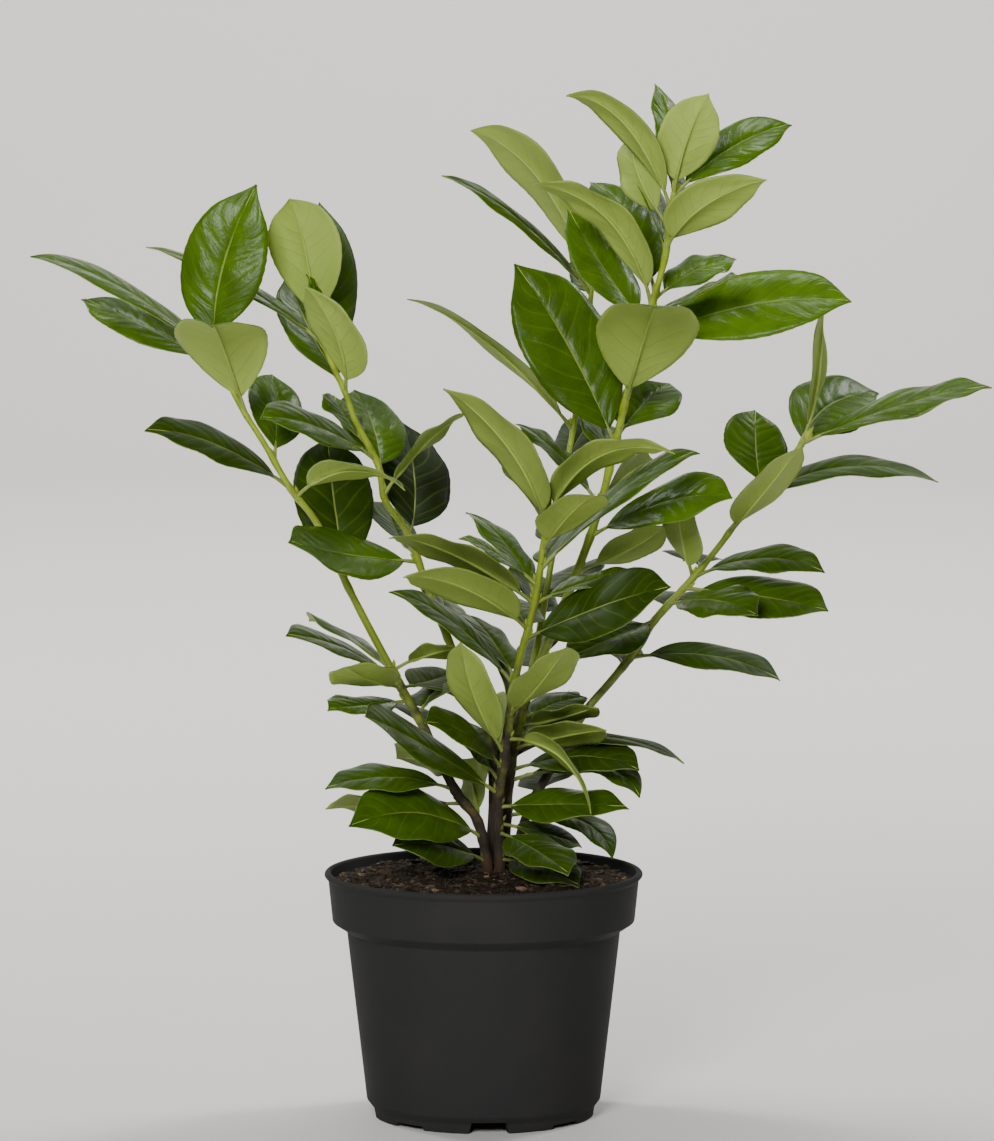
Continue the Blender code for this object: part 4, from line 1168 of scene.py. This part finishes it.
def ring_cutter(name, turn, radii, top_half_widths, foot_splay, top_z, collection):
    """A cutter across the foot ring, from below the floor to top_z, at this turn from the front."""
    shape = bmesh.new()
    bmesh.ops.create_cube(shape, size=1.0)
    for vert in shape.verts:
        end = 0 if vert.co.y > 0 else 1
        splay = 1.0 if vert.co.z > 0 else foot_splay
        vert.co.x = math.copysign(top_half_widths[end] * splay, vert.co.x)
        vert.co.y = -radii[end]
        vert.co.z = top_z if vert.co.z > 0 else -BELOW_FLOOR
    mesh = bpy.data.meshes.new(name)
    shape.to_mesh(mesh)
    shape.free()
    obj = bpy.data.objects.new(name, mesh)
    obj.data.transform(Matrix.Rotation(turn, 4, "Z"))
    collection.objects.link(obj)


def cut_with(obj, collection):
    """Cut every object of the collection from obj, and remove them."""
    change = obj.modifiers.new("cut", "BOOLEAN")
    change.operation = "DIFFERENCE"
    change.operand_type = "COLLECTION"
    change.collection = collection
    bpy.context.view_layer.update()
    graph = bpy.context.evaluated_depsgraph_get()
    mesh = bpy.data.meshes.new_from_object(obj.evaluated_get(graph))
    obj.modifiers.clear()
    obj.data = mesh
    for other in list(collection.objects):
        bpy.data.objects.remove(other, do_unlink=True)
    bpy.data.collections.remove(collection)


class OBJECT_OT_laurel_pot(bpy.types.Operator):
    """Add the moulded plastic pot with its rim, band, foot ring, notches and drain holes"""
    bl_idname = "object.laurel_pot"
    bl_label = "Pot"

    def execute(self, context):
        look = context.scene.laurel_pot
        piece = Piece()
        lathe(piece.shape, pot_profile(), look.steps, CORNER)
        pot = piece.finish("nursery_pot")
        cutters = bpy.data.collections.new("cutters")
        context.scene.collection.children.link(cutters)
        foot = FOOT_WIDTH / 2
        radii = (foot - 2 * FOOT_RING_WIDTH, foot + BELOW_FLOOR)
        widths = [math.tan(NOTCH_HALF_ANGLE) * radius for radius in radii]
        hole_radii = (foot - HOLE_IN, foot - HOLE_OUT)
        hole_widths = (HOLE_HALF_WIDTH, HOLE_HALF_WIDTH)
        for quarter in range(4):
            turn = NOTCH_TURN + quarter * math.pi / 2
            ring_cutter("notch", turn, radii, widths, NOTCH_SPLAY, NOTCH_HEIGHT, cutters)
            ring_cutter("hole", turn, hole_radii, hole_widths, 1.0, HOLE_TOP_Z, cutters)
            between = turn + math.pi / 4
            ring_cutter("arch", between, radii, widths, NOTCH_SPLAY, ARCH_HEIGHT, cutters)
        cut_with(pot, cutters)
        pot.data.materials.clear()
        pot.data.materials.append(pot_material(look))
        pot.data.shade_smooth()
        pot.data.set_sharp_from_angle(angle=SHARP_ANGLE)
        settle(pot, "pot")
        return {"FINISHED"}


def soil_height(x, y):
    """The lumpy top of the potting mix, from the pot's own axis: as in the part's source."""
    radius = math.hypot(x, y) / (BAND_TOP_WIDTH / 2)
    mound = SOIL_MOUND * (1 - radius ** 2)
    lumps = 0.0
    for share, *waves in SOIL_WAVES:
        lumps += share * math.prod(math.sin(a * x + b * y + shift) for a, b, shift in waves)
    return SOIL_EDGE_Z + mound + SOIL_LUMP * lumps * (1 - radius ** 4)


def mix_edge_radius():
    """Where the mix's top meets the pot's band."""
    band = BAND_FOOT_WIDTH / 2 - WALL - GAP
    return band + (BAND_TOP_WIDTH - BAND_FOOT_WIDTH) / 2 * SOIL_EDGE_SHARE


def crumbled_height(x, y):
    """The top with its crumbs: coarse lumps of about 9 mm and grit of about 2 mm on the waves."""
    place = Vector((x, y, 0.0))
    radius = math.hypot(x, y) / mix_edge_radius()
    lumps = 0.0012 * noise.noise(place * 110)
    grit = 0.0011 * abs(noise.noise(place * 330)) + 0.0006 * noise.noise(place * 700)
    return soil_height(x, y) + (lumps + grit) * (1 - radius ** 8)


class OBJECT_OT_laurel_mix(bpy.types.Operator):
    """Add the potting mix with its crumbled top, loose crumbs and fibres"""
    bl_idname = "object.laurel_mix"
    bl_label = "Potting Mix"

    def execute(self, context):
        look = context.scene.laurel_mix
        piece = Piece()
        rings = 70
        steps = 220
        edge = mix_edge_radius()
        inside_foot = WALL_FOOT_WIDTH / 2 - WALL - GAP
        floor_top = FLOOR_Z + FLOOR_THICKNESS + GAP
        profile = [(edge * ring / rings, SOIL_EDGE_Z) for ring in range(rings + 1)]
        profile += [
            (BAND_FOOT_WIDTH / 2 - WALL - GAP, BAND_FOOT_Z + WALL + GAP),
            (WALL_TOP_WIDTH / 2 - WALL - GAP, WALL_TOP_Z + WALL / 2 + GAP),
            (inside_foot, WALL_FOOT_Z + FLOOR_THICKNESS + GAP),
            (inside_foot - 2 * FLOOR_THICKNESS, floor_top),
            (0.0, floor_top),
        ]
        lathe(piece.shape, profile, steps, 0.0)
        for vert in piece.shape.verts:
            if abs(vert.co.z - SOIL_EDGE_Z) < GAP:
                vert.co.z = crumbled_height(vert.co.x, vert.co.y)
        for face in piece.shape.faces:
            face.smooth = True
        settle(piece.finish("potting_mix", [peat_material(look)]), "soil")
        bits = Piece()
        draw = random.Random(21)
        for _ in range(look.crumbs):
            add_crumb(bits, draw, edge)
        for _ in range(look.fibres):
            add_fibre(bits, draw, edge)
        settle(bits.finish("loose_bits", [bits_material(look)]), "soil")
        return {"FINISHED"}


def spot_on_mix(draw, edge):
    """An even random place on the mix, clear of the pot's wall."""
    radius = (edge - 0.004) * math.sqrt(draw.random())
    turn = draw.uniform(0.0, math.tau)
    return radius * math.cos(turn), radius * math.sin(turn)


def add_crumb(piece, draw, edge):
    """Add a knobbly crumb of peat or bark, half sunk in the mix."""
    x, y = spot_on_mix(draw, edge)
    size = 0.0005 + 0.0015 * draw.random() ** 2.6
    part = new_shape()
    shades = part.verts.layers.float["shade"]
    bmesh.ops.create_cube(part, size=2.0)
    bmesh.ops.subdivide_edges(part, edges=part.edges, cuts=1, use_grid_fill=True)
    stretch = Vector((draw.uniform(0.7, 2.3), draw.uniform(0.5, 1.1), draw.uniform(0.40, 0.85)))
    turn = Matrix.Rotation(draw.uniform(0.0, math.tau), 3, "Z")
    turn = turn @ Matrix.Rotation(draw.uniform(-0.5, 0.5), 3, "X")
    shade = draw.random() ** 2.4
    seed = Vector((draw.uniform(0, 50), draw.uniform(0, 50), draw.uniform(0, 50)))
    centre = Vector((x, y, crumbled_height(x, y) + size * 0.25))
    for vert in part.verts:
        round_place = vert.co.normalized()
        rough = 1.0 + 1.2 * noise.noise(round_place * 1.6 + seed)
        vert.co = centre + turn @ (round_place * stretch * rough * size)
        vert[shades] = shade
    piece.join(part)


def add_fibre(piece, draw, edge):
    """Add a bent straw or root fibre that lies on the mix."""
    x, y = spot_on_mix(draw, edge)
    heading = draw.uniform(0.0, math.tau)
    length = draw.uniform(0.003, 0.012)
    radius = draw.uniform(0.00012, 0.00032)
    bend = draw.uniform(-1.2, 1.2)
    rise = draw.uniform(0.0, 0.10)
    points = []
    steps = 7
    for step in range(steps + 1):
        share = step / steps
        turn = heading + bend * (share - 0.5)
        x += math.cos(turn) * length / steps
        y += math.sin(turn) * length / steps
        shrink = min(1.0, (edge - 0.002) / max(math.hypot(x, y), 0.001))
        ground = crumbled_height(x * shrink, y * shrink)
        points.append(Vector((x * shrink, y * shrink, ground + radius + rise * length * share)))
    radii = [radius * math.sin(math.pi * (0.12 + 0.76 * step / steps)) for step in range(steps + 1)]
    radii[0] = 0.0
    radii[-1] = 0.0
    piece.tube(points, radii, 6, draw.uniform(0.55, 1.0))


def soft_light(name, place, target, size, power):
    """A square soft box in the studio, aimed at the target."""
    data = bpy.data.lights.new(name, "AREA")
    data.size = size
    data.energy = power
    light = bpy.data.objects.new(name, data)
    light.location = place
    light.rotation_euler = (target - Vector(place)).to_track_quat("-Z", "Y").to_euler()
    bpy.context.scene.collection.objects.link(light)


class OBJECT_OT_laurel_stage(bpy.types.Operator):
    """Add the pale floor and backdrop, the soft lights and the camera"""
    bl_idname = "object.laurel_stage"
    bl_label = "Stage"

    def execute(self, context):
        look = context.scene.laurel_stage
        breadth = 16.0
        depth_front = 6.0
        depth_back = 4.6
        cove = 1.2
        wall = 5.0

        def place(u, v):
            run = depth_front + depth_back + cove * math.pi / 2 + wall
            far = v * run - depth_front
            x = (u - 0.5) * breadth
            if far <= depth_back:
                return Vector((x, far, 0.0)), (u, v)
            turn = (far - depth_back) / cove
            if turn <= math.pi / 2:
                return Vector((x, depth_back + cove * math.sin(turn),
                               cove * (1 - math.cos(turn)))), (u, v)
            rise = far - depth_back - cove * math.pi / 2
            return Vector((x, depth_back + cove, cove + rise)), (u, v)

        backdrop = Piece()
        backdrop.sheet(2, 160, place, 0.0)
        backdrop.finish("backdrop", [backdrop_material(look)])

        plant = Vector((0.0, 0.0, 0.32))
        floor_behind = Vector((0.0, 4.0, 0.9))
        wall_middle = Vector((0.0, depth_back + cove, 1.0))
        # Name, place, what it is aimed at, size, and its share of the key light's power
        for name, spot, target, size, share in [
                ("key_soft_box", (-0.7, -3.2, 1.8), plant, 1.1, 1.0),
                ("left_soft_box", (-2.1, 1.5, 1.7), plant, 0.8, 0.10),
                ("right_soft_box", (2.1, 1.5, 1.7), plant, 0.8, 0.10),
                ("top_soft_box", (0.0, 0.4, 2.6), plant, 0.8, 0.22),
                ("left_backdrop_light", (-2.0, 1.6, 2.8), floor_behind, 1.0, 0.85),
                ("right_backdrop_light", (2.0, 1.6, 2.8), floor_behind, 1.0, 0.85),
                ("wall_light", (0.0, 3.4, 3.2), wall_middle, 1.0, 0.5)]:
            soft_light(name, spot, target, size, look.key_power * share)
        world = bpy.data.worlds.new("studio_air")
        world.use_nodes = True
        set_inputs(world.node_tree.nodes["Background"],
                   {"Color": rgba(linear("e9edf2")), "Strength": 0.08})
        context.scene.world = world

        data = bpy.data.cameras.new("camera")
        data.sensor_width = 36.0
        data.lens = EYE_TO_PICTURE * data.sensor_width / PHOTO_HEIGHT
        data.clip_end = 50.0
        camera = bpy.data.objects.new("camera", data)
        camera.location = EYE + POT_PLACE
        camera.rotation_euler = (AIM - EYE).to_track_quat("-Z", "Y").to_euler()
        context.scene.collection.objects.link(camera)
        context.scene.camera = camera
        return {"FINISHED"}


class VIEW3D_PT_laurel(bpy.types.Panel):
    """Sidebar panel with one button for each group of pieces and its settings"""
    bl_label = "Cherry Laurel"
    bl_idname = "VIEW3D_PT_laurel"
    bl_space_type = "VIEW_3D"
    bl_region_type = "UI"
    bl_category = "Laurel"

    def draw(self, context):
        scene = context.scene
        groups = [
            (scene.laurel_leaf, OBJECT_OT_laurel_leaves),
            (scene.laurel_stem, OBJECT_OT_laurel_stems),
            (scene.laurel_mix, OBJECT_OT_laurel_mix),
            (scene.laurel_pot, OBJECT_OT_laurel_pot),
            (scene.laurel_stage, OBJECT_OT_laurel_stage),
        ]
        for settings, operator in groups:
            box = self.layout.box()
            for name in settings.__annotations__:
                box.prop(settings, name)
            box.operator(operator.bl_idname)


SETTINGS = {
    "laurel_leaf": LaurelLeafSettings,
    "laurel_stem": LaurelStemSettings,
    "laurel_mix": LaurelMixSettings,
    "laurel_pot": LaurelPotSettings,
    "laurel_stage": LaurelStageSettings,
}
TOOLS = [OBJECT_OT_laurel_leaves, OBJECT_OT_laurel_stems, OBJECT_OT_laurel_mix,
         OBJECT_OT_laurel_pot, OBJECT_OT_laurel_stage, VIEW3D_PT_laurel]


def register():
    for name, settings in SETTINGS.items():
        bpy.utils.register_class(settings)
        setattr(bpy.types.Scene, name, PointerProperty(type=settings))
    for tool in TOOLS:
        bpy.utils.register_class(tool)


def unregister():
    for tool in reversed(TOOLS):
        bpy.utils.unregister_class(tool)
    for name, settings in SETTINGS.items():
        delattr(bpy.types.Scene, name)
        bpy.utils.unregister_class(settings)


def main():
    register()
    bpy.ops.object.laurel_leaves()
    bpy.ops.object.laurel_stems()
    bpy.ops.object.laurel_mix()
    bpy.ops.object.laurel_pot()
    bpy.ops.object.laurel_stage()


if __name__ == "__main__":
    main()
